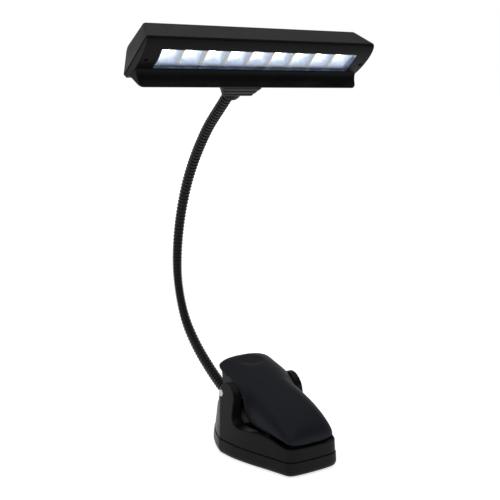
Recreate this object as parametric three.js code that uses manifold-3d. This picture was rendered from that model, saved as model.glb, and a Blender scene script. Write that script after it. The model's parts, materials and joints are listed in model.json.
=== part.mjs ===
// A battery reading light for a music stand: a spring clip that is also its standing base, a flexible
// neck, and a wide head with a row of nine LEDs behind a curved cover.
// Millimetres. +X runs to the right along the hinge pin and the head, +Y points away from the jaw's
// mouth and +Z is up. The origin is on the standing surface, on the rubber pad of the battery door.

import * as THREE from 'three';
import { mergeVertices } from 'three/addons/utils/BufferGeometryUtils.js';
import Module from 'manifold-3d';

const wasm = await Module();
wasm.setup();

// ---------------------------------------------------------------- driving dimensions

const GAP = 0.3;                       // between neighbours that touch on the real light
const WALL = 2;                        // moulded wall of the base and the lever

const PIN = { y: -1, z: 44.5, radius: 2, headRadius: 2.85, left: -32.8, right: 28.6, bore: 2.3 };
const EAR = { y: -8, z: 42.4, radius: 11.4, inner: 25.4 };
const SEAM_Z = 11.4;                   // joint line between the lower cover and the upper body
const FLOOR = { z: 0.8, thickness: 2.1 };
const DECK_Z = 19.8;                   // floor of the lower jaw
const EAR_FLOOR_Z = 26;                // floor between the ears, under the pin
const LEAN_Z = 54;                     // height of the upper of the two outlines of the base

const CELL = { radius: 7.1, length: 49, nubRadius: 2.7, nub: 1.3, pitch: 15, z: 10.45 };
const CELL_BAY = { front: -54, rear: 0.4, halfWidth: 22 };
const DOOR = { halfWidth: 23.1, front: -54.7, rear: 5.7 };
const BASE_SCREWS = [[-17, -67], [17, -67], [-24, 12], [24, 12]];

const NECK_RADIUS = 4.65;
const NECK_JOINTS = 9;                 // bending places along the neck
const NECK_FIRST_JOINT = 36;           // from the neck's lower end, along it
const NECK_LAST_JOINT = 19;            // from the neck's upper end, along it

const HEAD = { y: -18.8, z: 311.6, tilt: 39, halfLength: 99.1, wall: 1.8 };
const RIM = { rear: 46.6, rise: 4.1 };  // the tray's slanted rim: how far back it goes, and how far up
const COVER = { halfLength: 98.6, wall: 1.6 };
const WINDOW = { halfLength: 85.3, front: 8.75, rear: 28.4 };
const LEDS = { count: 9, pitch: 18.96, row: 18.6 };
const COVER_SCREW = { x: 94.2, y: 19 };
const NECK_AXIS_DEPTH = 6;             // of the neck above the head's opening plane

// ---------------------------------------------------------------- finishes

const finish = (color, roughness, metalness = 0) =>
  new THREE.MeshStandardMaterial({ color, roughness, metalness });
const FINISH = {
  body: finish('#1c1c1d', 0.45),
  cover: finish('#161617', 0.5),
  lever: finish('#1b1c20', 0.38),
  neck: finish('#171716', 0.4, 0.6),
  block: finish('#33312e', 0.55),
  rubber: finish('#101010', 0.9),
  steel: finish('#b9bbbd', 0.3, 1),
  clear: new THREE.MeshStandardMaterial({
    color: '#dfe9f5', roughness: 0.08, transparent: true, opacity: 0.35,
  }),
  reflector: finish('#f1f3f6', 0.35),
  led: new THREE.MeshStandardMaterial({ color: '#ffffff', emissive: '#e8f0ff', roughness: 0.2 }),
  board: finish('#1f5c38', 0.6),
  cell: finish('#3c4a63', 0.4, 0.4),
  wire: finish('#8c1f1c', 0.6),
};

// ---------------------------------------------------------------- solids

const vec = (x, y, z) => new THREE.Vector3(x, y, z);
const flat = (points) => points.map(([x, y]) => new THREE.Vector2(x, y));

// A closed mesh with shared corners, no flat triangles and its faces pointing out.
function closed(geometry) {
  const bare = geometry.clone();
  bare.deleteAttribute('normal');
  bare.deleteAttribute('uv');
  const merged = mergeVertices(bare, 1e-4);
  const p = merged.attributes.position;
  const corner = (i) => new THREE.Vector3().fromBufferAttribute(p, i);
  const index = [];
  let volume = 0;
  for (let i = 0; i < merged.index.count; i += 3) {
    const [a, b, c] = [0, 1, 2].map((k) => merged.index.getX(i + k));
    if (a === b || b === c || c === a) continue;
    volume += corner(a).dot(corner(b).cross(corner(c)));
    index.push(a, b, c);
  }
  if (volume < 0) index.reverse();
  merged.setIndex(index);
  return merged;
}

function solidOf(geometry) {
  const mesh = closed(geometry);
  return new wasm.Manifold(new wasm.Mesh({
    numProp: 3,
    vertProperties: mesh.attributes.position.array,
    triVerts: Uint32Array.from(mesh.index.array),
  }));
}

function geometryOf(solid) {
  const mesh = solid.getMesh();
  const geometry = new THREE.BufferGeometry();
  geometry.setAttribute('position', new THREE.Float32BufferAttribute(mesh.vertProperties, 3));
  geometry.setIndex([...mesh.triVerts]);
  return geometry;
}

const join = (...geometries) => geometryOf(geometries.map(solidOf).reduce((a, b) => a.add(b)));
const common = (...geometries) => geometryOf(geometries.map(solidOf).reduce((a, b) => a.intersect(b)));
const cut = (body, ...tools) =>
  geometryOf(tools.map(solidOf).reduce((left, tool) => left.subtract(tool), solidOf(body)));

function box([x0, x1], [y0, y1], [z0, z1]) {
  return new THREE.BoxGeometry(x1 - x0, y1 - y0, z1 - z0)
    .translate((x0 + x1) / 2, (y0 + y1) / 2, (z0 + z1) / 2);
}

const ALONG_X = new THREE.Matrix4().makeBasis(vec(0, 1, 0), vec(0, 0, 1), vec(1, 0, 0));
const ALONG_Y = new THREE.Matrix4().makeBasis(vec(1, 0, 0), vec(0, 0, -1), vec(0, 1, 0));

// An outline of (y, z) points extruded between two x, and one of (x, y) points between two z.
function extrudeX(points, x0, x1) {
  const shape = new THREE.Shape(points);
  return new THREE.ExtrudeGeometry(shape, { depth: x1 - x0, bevelEnabled: false, curveSegments: 1 })
    .applyMatrix4(ALONG_X).translate(x0, 0, 0);
}

function extrudeZ(points, z0, z1) {
  const shape = new THREE.Shape(points);
  return new THREE.ExtrudeGeometry(shape, { depth: z1 - z0, bevelEnabled: false, curveSegments: 1 })
    .translate(0, 0, z0);
}

// A turned piece: (radius, height) points revolved about Z, about X, or about Y.
const turned = (profile, sides = 20) =>
  new THREE.LatheGeometry(flat(profile), sides).rotateX(Math.PI / 2);
const turnedX = (profile, sides) => turned(profile, sides).rotateY(Math.PI / 2);
const turnedY = (profile, sides) => turned(profile, sides).rotateX(-Math.PI / 2);
const rod = (radius, z0, z1) => [[0, z0], [radius, z0], [radius, z1], [0, z1]];

// A skin over rings of points, with a fan across each end.
function loft(rings) {
  const count = rings[0].length;
  const last = rings.length - 1;
  const points = rings.flat();
  const middle = (ring) => ring.reduce((sum, p) => sum.add(p), vec(0, 0, 0)).divideScalar(count);
  points.push(middle(rings[0]), middle(rings[last]));
  const index = [];
  for (let i = 0; i < count; i += 1) {
    const j = (i + 1) % count;
    for (let r = 0; r < last; r += 1) {
      const [a, b] = [r * count, (r + 1) * count];
      index.push(a + i, a + j, b + j, a + i, b + j, b + i);
    }
    index.push(points.length - 2, j, i);
    index.push(points.length - 1, last * count + i, last * count + j);
  }
  const geometry = new THREE.BufferGeometry().setFromPoints(points);
  geometry.setIndex(index);
  return closed(geometry);
}

// A round tube or wire swept along a curve.
function swept(curve, radius, sides, steps) {
  const circle = new THREE.Shape(new THREE.Path().absarc(0, 0, radius, 0, 2 * Math.PI).getPoints(sides)
    .slice(0, sides));
  return new THREE.ExtrudeGeometry(circle, {
    extrudePath: curve, steps, bevelEnabled: false, curveSegments: 1,
  });
}

// A height read off a smooth outline of (y, height) points, with y rising along it.
function heightAlong(points) {
  const curve = new THREE.SplineCurve(flat(points));
  return (y) => {
    let [low, high] = [0, 1];
    for (let i = 0; i < 30; i += 1) {
      const t = (low + high) / 2;
      if (curve.getPoint(t).x < y) low = t;
      else high = t;
    }
    return curve.getPoint(low).y;
  };
}

const group = new THREE.Group();
const head = new THREE.Group();
head.position.set(0, HEAD.y, HEAD.z);
head.rotation.x = -THREE.MathUtils.degToRad(HEAD.tilt);
group.add(head);

function piece(name, geometry, material, parent = group) {
  const mesh = new THREE.Mesh(closed(geometry), material);
  mesh.name = name;
  parent.add(mesh);
}

// ---------------------------------------------------------------- base shell

// Half of the base's outline seen from above, from the middle of the front to the middle of the rear,
// at the standing surface and at LEAN_Z. A sharp corner parts the side from the rear strip.
const OUTLINE = {
  low: {
    side: [[0, -81.2], [10, -80.9], [18, -79.9], [22.3, -77.3], [24.8, -71.5], [28.6, -60], [35, -42],
      [39.3, -26], [40.8, -11.8]],
    rear: [[40.8, -11.8], [36.6, 6.5], [23, 38], [0, 38]],
  },
  high: {
    side: [[0, -77.8], [10, -77.5], [17, -76.6], [20.7, -74.2], [22.4, -69.5], [25.6, -59], [29.4, -42],
      [30.8, -22], [31.8, 1.3]],
    rear: [[31.8, 1.3], [30.4, 6.6], [18, 27], [0, 27]],
  },
};

function halfOutline({ side, rear }) {
  const sidePoints = new THREE.SplineCurve(flat(side)).getPoints(16);
  const rearPoints = new THREE.CubicBezierCurve(...flat(rear)).getPoints(8);
  return [...sidePoints, ...rearPoints.slice(1)];
}

function fullOutline(half) {
  const mirrored = half.slice(1, -1).reverse().map((p) => new THREE.Vector2(-p.x, p.y));
  return [...half, ...mirrored];
}

const LOW = fullOutline(halfOutline(OUTLINE.low));
const HIGH = fullOutline(halfOutline(OUTLINE.high));

// The base's section at height z, drawn in by inset.
function baseRing(z, inset = 0) {
  const points = LOW.map((p, i) => p.clone().lerp(HIGH[i], z / LEAN_Z));
  return points.map((p, i) => {
    const before = points.at(i - 1);
    const after = points[(i + 1) % points.length];
    const along = after.clone().sub(before).normalize();
    return vec(p.x - along.y * inset, p.y + along.x * inset, z);
  });
}

const baseBlock = (z0, z1, inset) => loft([baseRing(z0, inset), baseRing(z1, inset)]);

// The ear's round head between two angles in degrees, measured from +Y towards +Z.
function earArc(radius, from, to, steps) {
  const arc = new THREE.EllipseCurve(EAR.y, EAR.z, radius, radius,
    THREE.MathUtils.degToRad(from), THREE.MathUtils.degToRad(to), to < from);
  return arc.getPoints(steps);
}

const rimLine = new THREE.SplineCurve(flat([[-79.5, 21], [-72, 21.8], [-62, 24.6], [-52, 26.3], [-42, 26],
  [-32, 24.9], [-25.5, 25.6], [-21, 29], [-19.5, 35], [EAR.y - EAR.radius, EAR.z]]));
const bodyProfile = [
  ...flat([[-84, SEAM_Z + GAP], [-84, 21]]), ...rimLine.getPoints(20),
  ...earArc(EAR.radius, 180, -15, 14).slice(1),
  ...flat([[6, 34.6], [9.5, 32.4], [15, 31.6], [27, 31], [33, 28.6], [40, 24], [40, SEAM_Z + GAP]]),
];
const pocketProfile = flat([[-84, DECK_Z], [-31, DECK_Z], [-25, EAR_FLOOR_Z], [9, EAR_FLOOR_Z], [9, 60],
  [-84, 60]]);
const cavityProfile = flat([[-84, 2], [-84, 17.9], [-27, 17.9], [-22, 23.9], [26, 23.9], [40, 23.9], [40, 2]]);
const jawPocket = common(baseBlock(5, LEAN_Z, 2.6), extrudeX(pocketProfile, -EAR.inner, EAR.inner));
const bodyCavity = common(baseBlock(2, 30, WALL + 0.4), extrudeX(cavityProfile, -45, 45));

// The pin goes in from the left, where its head shows, and ends blind inside the right ear.
const pinBore = turnedX(rod(PIN.bore, -40, PIN.right + GAP)).translate(0, PIN.y, PIN.z);
const pinSeat = turnedX(rod(PIN.headRadius + GAP, PIN.left - 10.8, PIN.left + 1.2)).translate(0, PIN.y, PIN.z);

const bosses = BASE_SCREWS.map(([x, y]) =>
  turned(rod(3.2, FLOOR.z + FLOOR.thickness + GAP, y < 0 ? 18.5 : 25), 14).translate(x, y, 0));
const bossHoles = BASE_SCREWS.map(([x, y]) => turned(rod(1.5, 2, 15), 14).translate(x, y, 0));

// ---------------------------------------------------------------- neck line

// A point of the head's own frame, (y, z) there, in the light's frame.
const tilt = THREE.MathUtils.degToRad(HEAD.tilt);
const fromHead = (y, z) => vec(0, HEAD.y + y * Math.cos(tilt) + z * Math.sin(tilt),
  HEAD.z - y * Math.sin(tilt) + z * Math.cos(tilt));

// The neck's centre line in the YZ plane, from inside the base to inside the block on the head. It
// leaves the head straight.
const neckBends = [[25, 21.4], [36, 24.5], [52.4, 30], [72.4, 39.8], [96.4, 55.4], [114.3, 73], [124.6, 93.2],
  [129.3, 114.4], [128.6, 136.3], [124.2, 158.6], [116.6, 180.8], [106, 202.5], [91.2, 224], [72.9, 244.6],
  [61.4, 254.6]];
const neckLine = new THREE.CatmullRomCurve3([...neckBends.map(([y, z]) => vec(0, y, z)),
  ...[82, 74, 66, 58, 50].map((y) => fromHead(y, NECK_AXIS_DEPTH))]);
const NECK_LENGTH = neckLine.getLength();
const neckAt = (distance) => neckLine.getPointAt(distance / NECK_LENGTH);

const jointSpacing = (NECK_LENGTH - NECK_FIRST_JOINT - NECK_LAST_JOINT) / (NECK_JOINTS - 1);
const jointDistances = Array.from({ length: NECK_JOINTS }, (_, i) => NECK_FIRST_JOINT + i * jointSpacing);

// Each link is a bent tube. Its upper end is a ball that turns in the cup of the next link's lower end.
function neckLink(from, to, hasCup, hasBall) {
  const steps = 4;
  const points = Array.from({ length: steps + 1 }, (_, i) => neckAt(from + (to - from) * (i / steps)));
  let link = swept(new THREE.CatmullRomCurve3(points), NECK_RADIUS, 12, steps);
  const ball = (radius, at) => new THREE.SphereGeometry(radius, 12, 8).translate(at.x, at.y, at.z);
  if (hasBall) link = join(link, ball(NECK_RADIUS, points.at(-1)));
  if (hasCup) link = cut(link, ball(NECK_RADIUS + GAP, points[0]));
  return link;
}

const linkEnds = [0, ...jointDistances, NECK_LENGTH];
for (let i = 0; i <= NECK_JOINTS; i += 1) {
  piece(`neck_link_${i}`, neckLink(linkEnds[i], linkEnds[i + 1], i > 0, i < NECK_JOINTS), FINISH.neck);
}

// The socket that holds the neck's lower end, along the neck's first stretch.
const SOCKET = { radius: 7, flange: 8.6, bore: NECK_RADIUS + GAP, from: 1.5, wallAt: 8.5, to: 14 };
const socketStart = neckAt(0);
const socketAngle = Math.atan2(neckAt(14).z - socketStart.z, neckAt(14).y - socketStart.y);
const onSocketAxis = (geometry) =>
  geometry.rotateX(socketAngle).translate(0, socketStart.y, socketStart.z);

// The button and the power inlet sit in the rear wall, one on each side of the neck.
const REAR_HOLE = { x: 13, z: 18.4, radius: 3.7 };
const onRearWall = (geometry, side) => geometry.translate(side * REAR_HOLE.x, 0, REAR_HOLE.z);

// ---------------------------------------------------------------- base pieces

piece('base_upper', cut(
  join(cut(common(baseBlock(SEAM_Z + GAP, LEAN_Z, 0.5), extrudeX(bodyProfile, -45, 45)), jawPocket, bodyCavity),
    ...bosses),
  ...bossHoles, pinBore, pinSeat,
  onSocketAxis(turnedY(rod(SOCKET.radius + GAP, SOCKET.wallAt - 9, 40), 24)),
  onSocketAxis(turnedY(rod(SOCKET.flange + GAP, -6, SOCKET.wallAt - 2.6), 24)),
  ...[-1, 1].map((side) => onRearWall(turnedY(rod(REAR_HOLE.radius, 18, 45)), side)),
), FINISH.body);

const screwSeat = [[0, 0], [3, 0], [3, FLOOR.z], [1.6, FLOOR.z + 1.5], [1.6, 4], [0, 4]];
const lowerSkin = loft([[FLOOR.z, 3.2], [1.6, 1.6], [3.2, 0.4], [5.4, 0], [SEAM_Z, 0]]
  .map(([z, inset]) => baseRing(z, inset)));
piece('base_lower', cut(lowerSkin,
  baseBlock(FLOOR.z + FLOOR.thickness, SEAM_Z + 1, WALL + 0.2),
  box([-DOOR.halfWidth - GAP, DOOR.halfWidth + GAP], [DOOR.front - GAP, DOOR.rear + GAP], [0, 4]),
  ...BASE_SCREWS.map(([x, y]) => turned(screwSeat, 14).translate(x, y, 0)),
), FINISH.body);

piece('battery_door', join(
  box([-DOOR.halfWidth, DOOR.halfWidth], [DOOR.front, DOOR.rear], [FLOOR.z, FLOOR.z + FLOOR.thickness]),
  box([-7, 7], [DOOR.rear - 2, DOOR.rear + 3], [FLOOR.z + FLOOR.thickness + GAP, 4.4]),
  box([-7, 7], [DOOR.rear - 2.4, DOOR.rear - 0.6], [FLOOR.z + 0.5, 4.4]),
), FINISH.body);

const padTop = FLOOR.z - GAP;
piece('door_pad', box([-19, 19], [-50, 3], [0, padTop]), FINISH.rubber);
piece('front_foot', box([-11, 11], [-74, -60], [0, padTop]), FINISH.rubber);
piece('rear_foot', box([-14, 14], [13, 30], [0, padTop]), FINISH.rubber);

BASE_SCREWS.forEach(([x, y], i) => {
  const screw = [[0, 1.1], [2.4, 1.1], [1.2, 2.5], [1.2, 13], [0, 13.6]];
  piece(`base_screw_${i + 1}`, turned(screw, 12).translate(x, y, 0), FINISH.steel);
});

// Three cells side by side, the middle one the other way round, each pressed by a small spring.
const springLength = CELL_BAY.rear - CELL_BAY.front - CELL.length - CELL.nub - 2 * GAP - 0.2;
for (let i = 0; i < 3; i += 1) {
  const turnedRound = i === 1;
  const cell = [[0, 0], [CELL.radius, 0], [CELL.radius, CELL.length], [CELL.nubRadius, CELL.length],
    [CELL.nubRadius, CELL.length + CELL.nub], [0, CELL.length + CELL.nub]];
  const x = (i - 1) * CELL.pitch;
  const start = CELL_BAY.front + springLength + 0.4;
  const place = (geometry) => (turnedRound
    ? geometry.rotateZ(Math.PI).translate(x, CELL_BAY.front + CELL_BAY.rear - start, CELL.z)
    : geometry.translate(x, start, CELL.z));
  piece(`battery_${i + 1}`, place(turnedY(cell, 16)), FINISH.cell);
  const turns = 3;
  const steps = 10 * turns;
  const helix = Array.from({ length: steps + 1 }, (_, k) => {
    const angle = (2 * Math.PI * turns * k) / steps;
    const radius = 4.6 - (2 * k) / steps;
    return vec(radius * Math.cos(angle), 0.4 + ((springLength - 1) * k) / steps, radius * Math.sin(angle));
  });
  const coil = swept(new THREE.CatmullRomCurve3(helix), 0.35, 5, steps)
    .translate(0, -start + CELL_BAY.front + 0.2, 0);
  piece(`battery_spring_${i + 1}`, place(coil), FINISH.steel);
}

const contact = (y0, y1) => box([-CELL_BAY.halfWidth, CELL_BAY.halfWidth], [y0, y1], [4, 16.6]);
piece('contact_front', contact(CELL_BAY.front - 0.8, CELL_BAY.front), FINISH.steel);
piece('contact_rear', contact(CELL_BAY.rear, CELL_BAY.rear + 0.8), FINISH.steel);
piece('control_board', box([-17, 17], [4, 19], [9, 10.4]), FINISH.board);

piece('power_button', onRearWall(turnedY([[0, 19.4], [4.8, 19.4], [4.8, 20.8], [3.4, 20.8], [3.4, 33.2],
  [2.8, 34], [0, 34.2]]), 1), FINISH.rubber);
piece('power_jack', onRearWall(turnedY([[0, 18], [3.4, 18], [3.4, 28], [2.4, 28], [2.4, 20], [0.8, 20],
  [0.8, 26.6], [0, 27]]), -1), FINISH.cover);

piece('neck_socket', onSocketAxis(turnedY([[SOCKET.bore, SOCKET.from], [SOCKET.flange, SOCKET.from],
  [SOCKET.flange, SOCKET.wallAt - 3], [SOCKET.radius, SOCKET.wallAt - 3], [SOCKET.radius, SOCKET.to - 3],
  [SOCKET.bore + 0.9, SOCKET.to], [SOCKET.bore, SOCKET.to], [SOCKET.bore, SOCKET.from]], 24)), FINISH.cover);

piece('hinge_pin', turnedX([[0, PIN.left], [PIN.headRadius, PIN.left], [PIN.headRadius, PIN.left + 1],
  [PIN.radius, PIN.left + 1], [PIN.radius, PIN.right], [0, PIN.right]], 18).translate(0, PIN.y, PIN.z),
FINISH.steel);

// The torsion spring: a leg down to the base behind the pin, turns round the pin, and a leg up to the
// underside of the lever's handle.
const SPRING = { coil: 4.4, wire: 0.7, turns: 4, halfWidth: 5, lowerLeg: 23, upperLeg: 13, legAngle: 53 };
function clipSpringLine() {
  const points = [];
  const start = THREE.MathUtils.degToRad(SPRING.legAngle);
  const sweep = 2 * Math.PI * (SPRING.turns + 1) - 2 * start;
  const at = (angle) => [Math.cos(angle), Math.sin(angle)];
  const steps = 12 * SPRING.turns;
  const leg = (angle, length, x) => {
    const [c, s] = at(angle);
    return vec(x, PIN.y + SPRING.coil * c - s * length, PIN.z + SPRING.coil * s + c * length);
  };
  points.push(leg(start, -SPRING.lowerLeg, -SPRING.halfWidth));
  for (let i = 0; i <= steps; i += 1) {
    const angle = start + (sweep * i) / steps;
    const [c, s] = at(angle);
    const across = SPRING.halfWidth * ((2 * i) / steps - 1);
    points.push(vec(across, PIN.y + SPRING.coil * c, PIN.z + SPRING.coil * s));
  }
  points.push(leg(start + sweep, SPRING.upperLeg, SPRING.halfWidth));
  return points;
}
piece('clip_spring', swept(new THREE.CatmullRomCurve3(clipSpringLine()), SPRING.wire, 6, 70), FINISH.steel);

piece('lower_pad', cut(box([-16, 16], [-74, -44], [DECK_Z + GAP, DECK_Z + 2.6]),
  ...[-69, -64, -59, -54, -49].map((y) => box([-20, 20], [y - 0.6, y + 0.6], [DECK_Z + 2, DECK_Z + 3]))),
FINISH.rubber);

// ---------------------------------------------------------------- clip lever

// The lever's outlines along Y: the lower edge of its side, the top of its crown, its half-width, and
// the smooth line that its crown would stand on. The crown is a superellipse across, cut off at the edge.
const LEVER_EDGE = [[-77.2, 22.7], [-74.6, 24], [-70, 25.6], [-60, 26.5], [-46, 26.9], [-34, 27.8],
  [-28.6, 29.4], [-25.2, 32.4], [-22.6, 40], [-19.6, 45], [-15, 49], [-9, 52.4], [-2, 54.7], [5, 56.2], [11, 57.6],
  [15.6, 59.4], [19.4, 61.6], [21.2, 63.4]];
const LEVER_TOP = [[-77.2, 23.6], [-76.4, 28.4], [-73, 34.8], [-66, 41.4], [-56, 47], [-44, 51.7], [-30, 55.9],
  [-15, 59.9], [0, 63.4], [8, 64.9], [14, 65.6], [19, 65.4], [21.2, 64.1]];
const leverTop = heightAlong(LEVER_TOP);
const leverHalfWidth = heightAlong([[-77.2, 3], [-76.8, 12], [-75.8, 17.6], [-73.4, 20.8], [-68, 22.2],
  [-58, 23.5], [-46, 24.7], [-30, 24.9], [-10, 24.9], [6, 24.8], [13, 24.5], [17.4, 22.6], [20, 16.6],
  [20.9, 10], [21.2, 3]]);
const leverFoot = heightAlong([[-77.2, 22.7], [-60, 25.6], [-46, 26.2], [-34, 27.4], [-28.6, 28.8], [-22.6, 31],
  [-15, 34.6], [-2, 42.5], [11, 50.5], [17, 56], [21.2, 63.3]]);
const CROWN_POWER = 2.35;
const LEVER_ENDS = [-76.9, -76, -75, 18.4, 20.5];
const leverSpaced = new THREE.SplineCurve(flat(LEVER_EDGE)).getSpacedPoints(26).map((p) => p.x);
const leverStations = [...leverSpaced, ...LEVER_ENDS].sort((a, b) => a - b);
const leverEdge = heightAlong(LEVER_EDGE);

// A section across the lever: its crown over a straight lower edge, drawn in by inset.
function leverRing(y, inset, drop) {
  const edge = leverEdge(y) - drop;
  const foot = Math.min(leverFoot(y) - drop, edge);
  const height = Math.max(leverTop(y) - inset - foot, 0.4);
  const power = 2 / CROWN_POWER;
  const start = Math.asin(((edge - foot) / height) ** (1 / power));
  const halfWidth = Math.max(leverHalfWidth(y) - inset, 1) / Math.cos(start) ** power;
  const steps = 14;
  return Array.from({ length: steps + 1 }, (_, i) => {
    const angle = start + ((Math.PI - 2 * start) * i) / steps;
    const across = Math.sign(Math.cos(angle)) * Math.abs(Math.cos(angle)) ** power;
    return vec(halfWidth * across, y, foot + height * Math.sin(angle) ** power);
  });
}

const inside = (y) => y > -74 && y < 17.4;
const leverOuter = loft(leverStations.map((y) => leverRing(y, 0, 0)));
const leverInner = loft(leverStations.filter(inside).map((y) => leverRing(y, WALL, 3)));
const dimple = new THREE.SphereGeometry(1, 16, 10).scale(12.6, 10, 3)
  .rotateX(THREE.MathUtils.degToRad(12)).translate(0, 6, 66.1);
piece('lever_cover', cut(leverOuter, leverInner, dimple), FINISH.lever);

// The frame under the cover: a jaw plate in front, a cheek on each side and a barrel round the pin.
const CHEEK = { inner: 19.8, outer: 21.7, skirt: 24 };
const cheekProfile = flat([[-40, 30.2], [-32, 29.6], [-27.6, 31.4], [-24.4, 36], [-20.6, 41.4], [-14, 44],
  [-9.5, 39.4], [-4, 36.8], [2, 36.8], [6.6, 40.4], [9.4, 47.5], [11, 53.6], [10, 54.2], [2, 52], [-12, 47.6],
  [-22, 40.6], [-27.7, 35.4], [-32, 34], [-40, 33]]);
const skirtTop = [5, 0, -5, -10, -13].map((y) => new THREE.Vector2(y, leverEdge(y) - 0.5));
const skirtProfile = [...flat([[-12, 45.5], [-8, 40], [-4, 36.8], [2, 36.8], [6.6, 40.4], [9.4, 47.5],
  [10.6, 52], [11.4, leverEdge(11.4) - 0.5]]), ...skirtTop];
const jawPlate = [[-72.6, 25.4], [-42, 25.4], [-32, 28.9], [-30, 31.2], [-34, 32], [-42, 27.4], [-72.6, 27.2]];
const onBothSides = (make) => [make(1), make(-1)];
const slab = (profile, side, inner, outer) =>
  extrudeX(profile, Math.min(side * inner, side * outer), Math.max(side * inner, side * outer));
const SCREW_POSTS = [[-60, 40], [-36, 49]];
piece('lever_frame', cut(join(
  ...onBothSides((side) => slab(cheekProfile, side, CHEEK.inner, CHEEK.outer)),
  ...onBothSides((side) => slab(skirtProfile, side, CHEEK.inner + 1, CHEEK.skirt)),
  ...[[9, CHEEK.inner + 1], [-CHEEK.inner - 1, -9]].map(([x0, x1]) =>
    turnedX(rod(4.6, x0, x1), 16).translate(0, PIN.y, PIN.z)),
  common(extrudeX(flat(jawPlate), -CHEEK.outer, CHEEK.outer), loft(leverStations.filter(inside)
    .map((y) => leverRing(y, WALL + GAP, 3)))),
  extrudeX(flat([[-14, 48.8], [-12, 47], [10, 53.8], [9, 55.6]]), -CHEEK.inner - 1, CHEEK.inner + 1),
  ...SCREW_POSTS.map(([y, top]) => turned(rod(3, 26.5, top - 1), 14).translate(0, y, 0)),
  extrudeX(flat([[-33, 29.6], [-31.4, 28.6], [-12, 47.2], [-14, 48.8]]), -CHEEK.inner - 1, CHEEK.inner + 1),
), turnedX(rod(PIN.bore, -40, 40)).translate(0, PIN.y, PIN.z),
...SCREW_POSTS.map(([y, top]) => turned(rod(1.3, 24, top + 2), 12).translate(0, y, 0)),
...SCREW_POSTS.map(([y]) => turned(rod(2.9, 24, 27.4), 12).translate(0, y, 0))), FINISH.body);

SCREW_POSTS.forEach(([y, top], i) => {
  const screw = [[0, 25.8], [2.2, 25.8], [2.2, 27], [1, 27.2], [1, top - 1.6], [0, top - 1]];
  piece(`lever_screw_${i + 1}`, turned(screw, 12).translate(0, y, 0), FINISH.steel);
});

piece('upper_pad', cut(box([-15, 15], [-73, -46], [22.8, 25.1]),
  ...[-70, -65, -60, -55, -50].map((y) => box([-20, 20], [y - 0.6, y + 0.6], [22, 23.4]))), FINISH.rubber);

// ---------------------------------------------------------------- head
// In the head's own frame x runs along it, y from the front edge of its opening to the rear edge, and
// z into the head, so the light goes out towards -z.

// A rectangle with its corners cut, between a front and a rear (y, z).
function headRing(halfLength, [front, zFront], [rear, zRear], inset = 0) {
  const corner = 2.4;
  const x = halfLength - inset;
  const [y0, y1] = [front + inset, rear - inset];
  const z = (y) => zFront + ((zRear - zFront) * (y - front)) / (rear - front);
  const quarter = [[x - corner, y0], [x - 0.3 * corner, y0 + 0.3 * corner], [x, y0 + corner],
    [x, y1 - corner], [x - 0.3 * corner, y1 - 0.3 * corner], [x - corner, y1]];
  const mirrored = quarter.toReversed().map(([a, b]) => [-a, b]);
  return [...quarter, ...mirrored].map(([a, b]) => vec(a, b, z(b)));
}

// The tray narrows from its rim to its top. Its front wall is flat, and its rear wall bends into the top.
const TRAY = { topHalfLength: 92.4, frontTop: [7.4, 18.7], rearTop: [39.6, 24.8], bendFrom: 0.7, bendTo: 0.2 };
const mix = (a, b, t) => a.map((v, i) => v + (b[i] - v) * t);
const rearBend = new THREE.QuadraticBezierCurve(...flat([
  mix([RIM.rear, RIM.rise], TRAY.rearTop, TRAY.bendFrom), TRAY.rearTop,
  mix(TRAY.rearTop, TRAY.frontTop, TRAY.bendTo)]));

function trayRing(share, inset = 0, drop = 0) {
  const [halfLength] = mix([HEAD.halfLength], [TRAY.topHalfLength], share);
  const [front, zFront] = mix([0, 0], TRAY.frontTop, share);
  const [rear, zRear] = share < TRAY.bendFrom
    ? mix([RIM.rear, RIM.rise], TRAY.rearTop, share)
    : rearBend.getPoint((0.7 * (share - TRAY.bendFrom)) / (1 - TRAY.bendFrom)).toArray();
  return headRing(halfLength, [front, zFront - drop], [rear, zRear - drop], inset);
}

const trayOuter = loft([...[0, 0.7, 0.85, 1].map((share) => trayRing(share)),
  headRing(TRAY.topHalfLength - 2.4, [10, 19.2], [33, 23.55])]);
const trayInner = loft([0, 0.7, 1].map((share) => trayRing(share, HEAD.wall, 1 + (HEAD.wall - 1) * share)));
const coverPosts = [-1, 1].map((side) => turned(rod(2.4, 0.4, 14), 12)
  .translate(side * COVER_SCREW.x, COVER_SCREW.y, 0));
const coverPostHoles = [-1, 1].map((side) => turned(rod(1.1, -1, 9), 12)
  .translate(side * COVER_SCREW.x, COVER_SCREW.y, 0));
const NECK_BORE = NECK_RADIUS + GAP;
piece('head_housing', cut(join(cut(trayOuter, trayInner),
  ...coverPosts.map((post) => common(post, trayOuter))), ...coverPostHoles,
turnedY(rod(NECK_BORE - 1.5, 35, 50), 20).translate(0, 0, NECK_AXIS_DEPTH + 2)), FINISH.body, head);

// The curved cover: its outer line bulges out of the tray's rim, and the fin stands on its rear side.
function coverSolid(halfLength, thickness) {
  const t = thickness;
  const line = new THREE.CubicBezierCurve(...flat([[0.4 + t, -GAP], [1 + t, 1.3 * t - 6.6],
    [28, 1.3 * t - 7], [44.6 - t, t + 0.6]]));
  return extrudeX([...line.getPoints(12), ...flat([[45.5 - t, RIM.rise - 0.4]])], -halfLength, halfLength);
}
const finFront = new THREE.QuadraticBezierCurve(...flat([[29.6, -3.5], [34.2, -6.4], [34.9, -14.1]]));
const finSection = [...flat([[40.5, -1]]), ...finFront.getPoints(5),
  ...flat([[35.4, -14.7], [36.2, -14.75], [36.7, -14.1]])];
const FIN = { root: 98.4, side: 96, tip: 91, depth: 14.9 };
const finTip = (side) => new THREE.QuadraticBezierCurve(...flat([[side * FIN.side, FIN.depth - 3.9],
  [side * (FIN.side - 0.6), FIN.depth], [side * FIN.tip, FIN.depth]])).getPoints(4);
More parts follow.
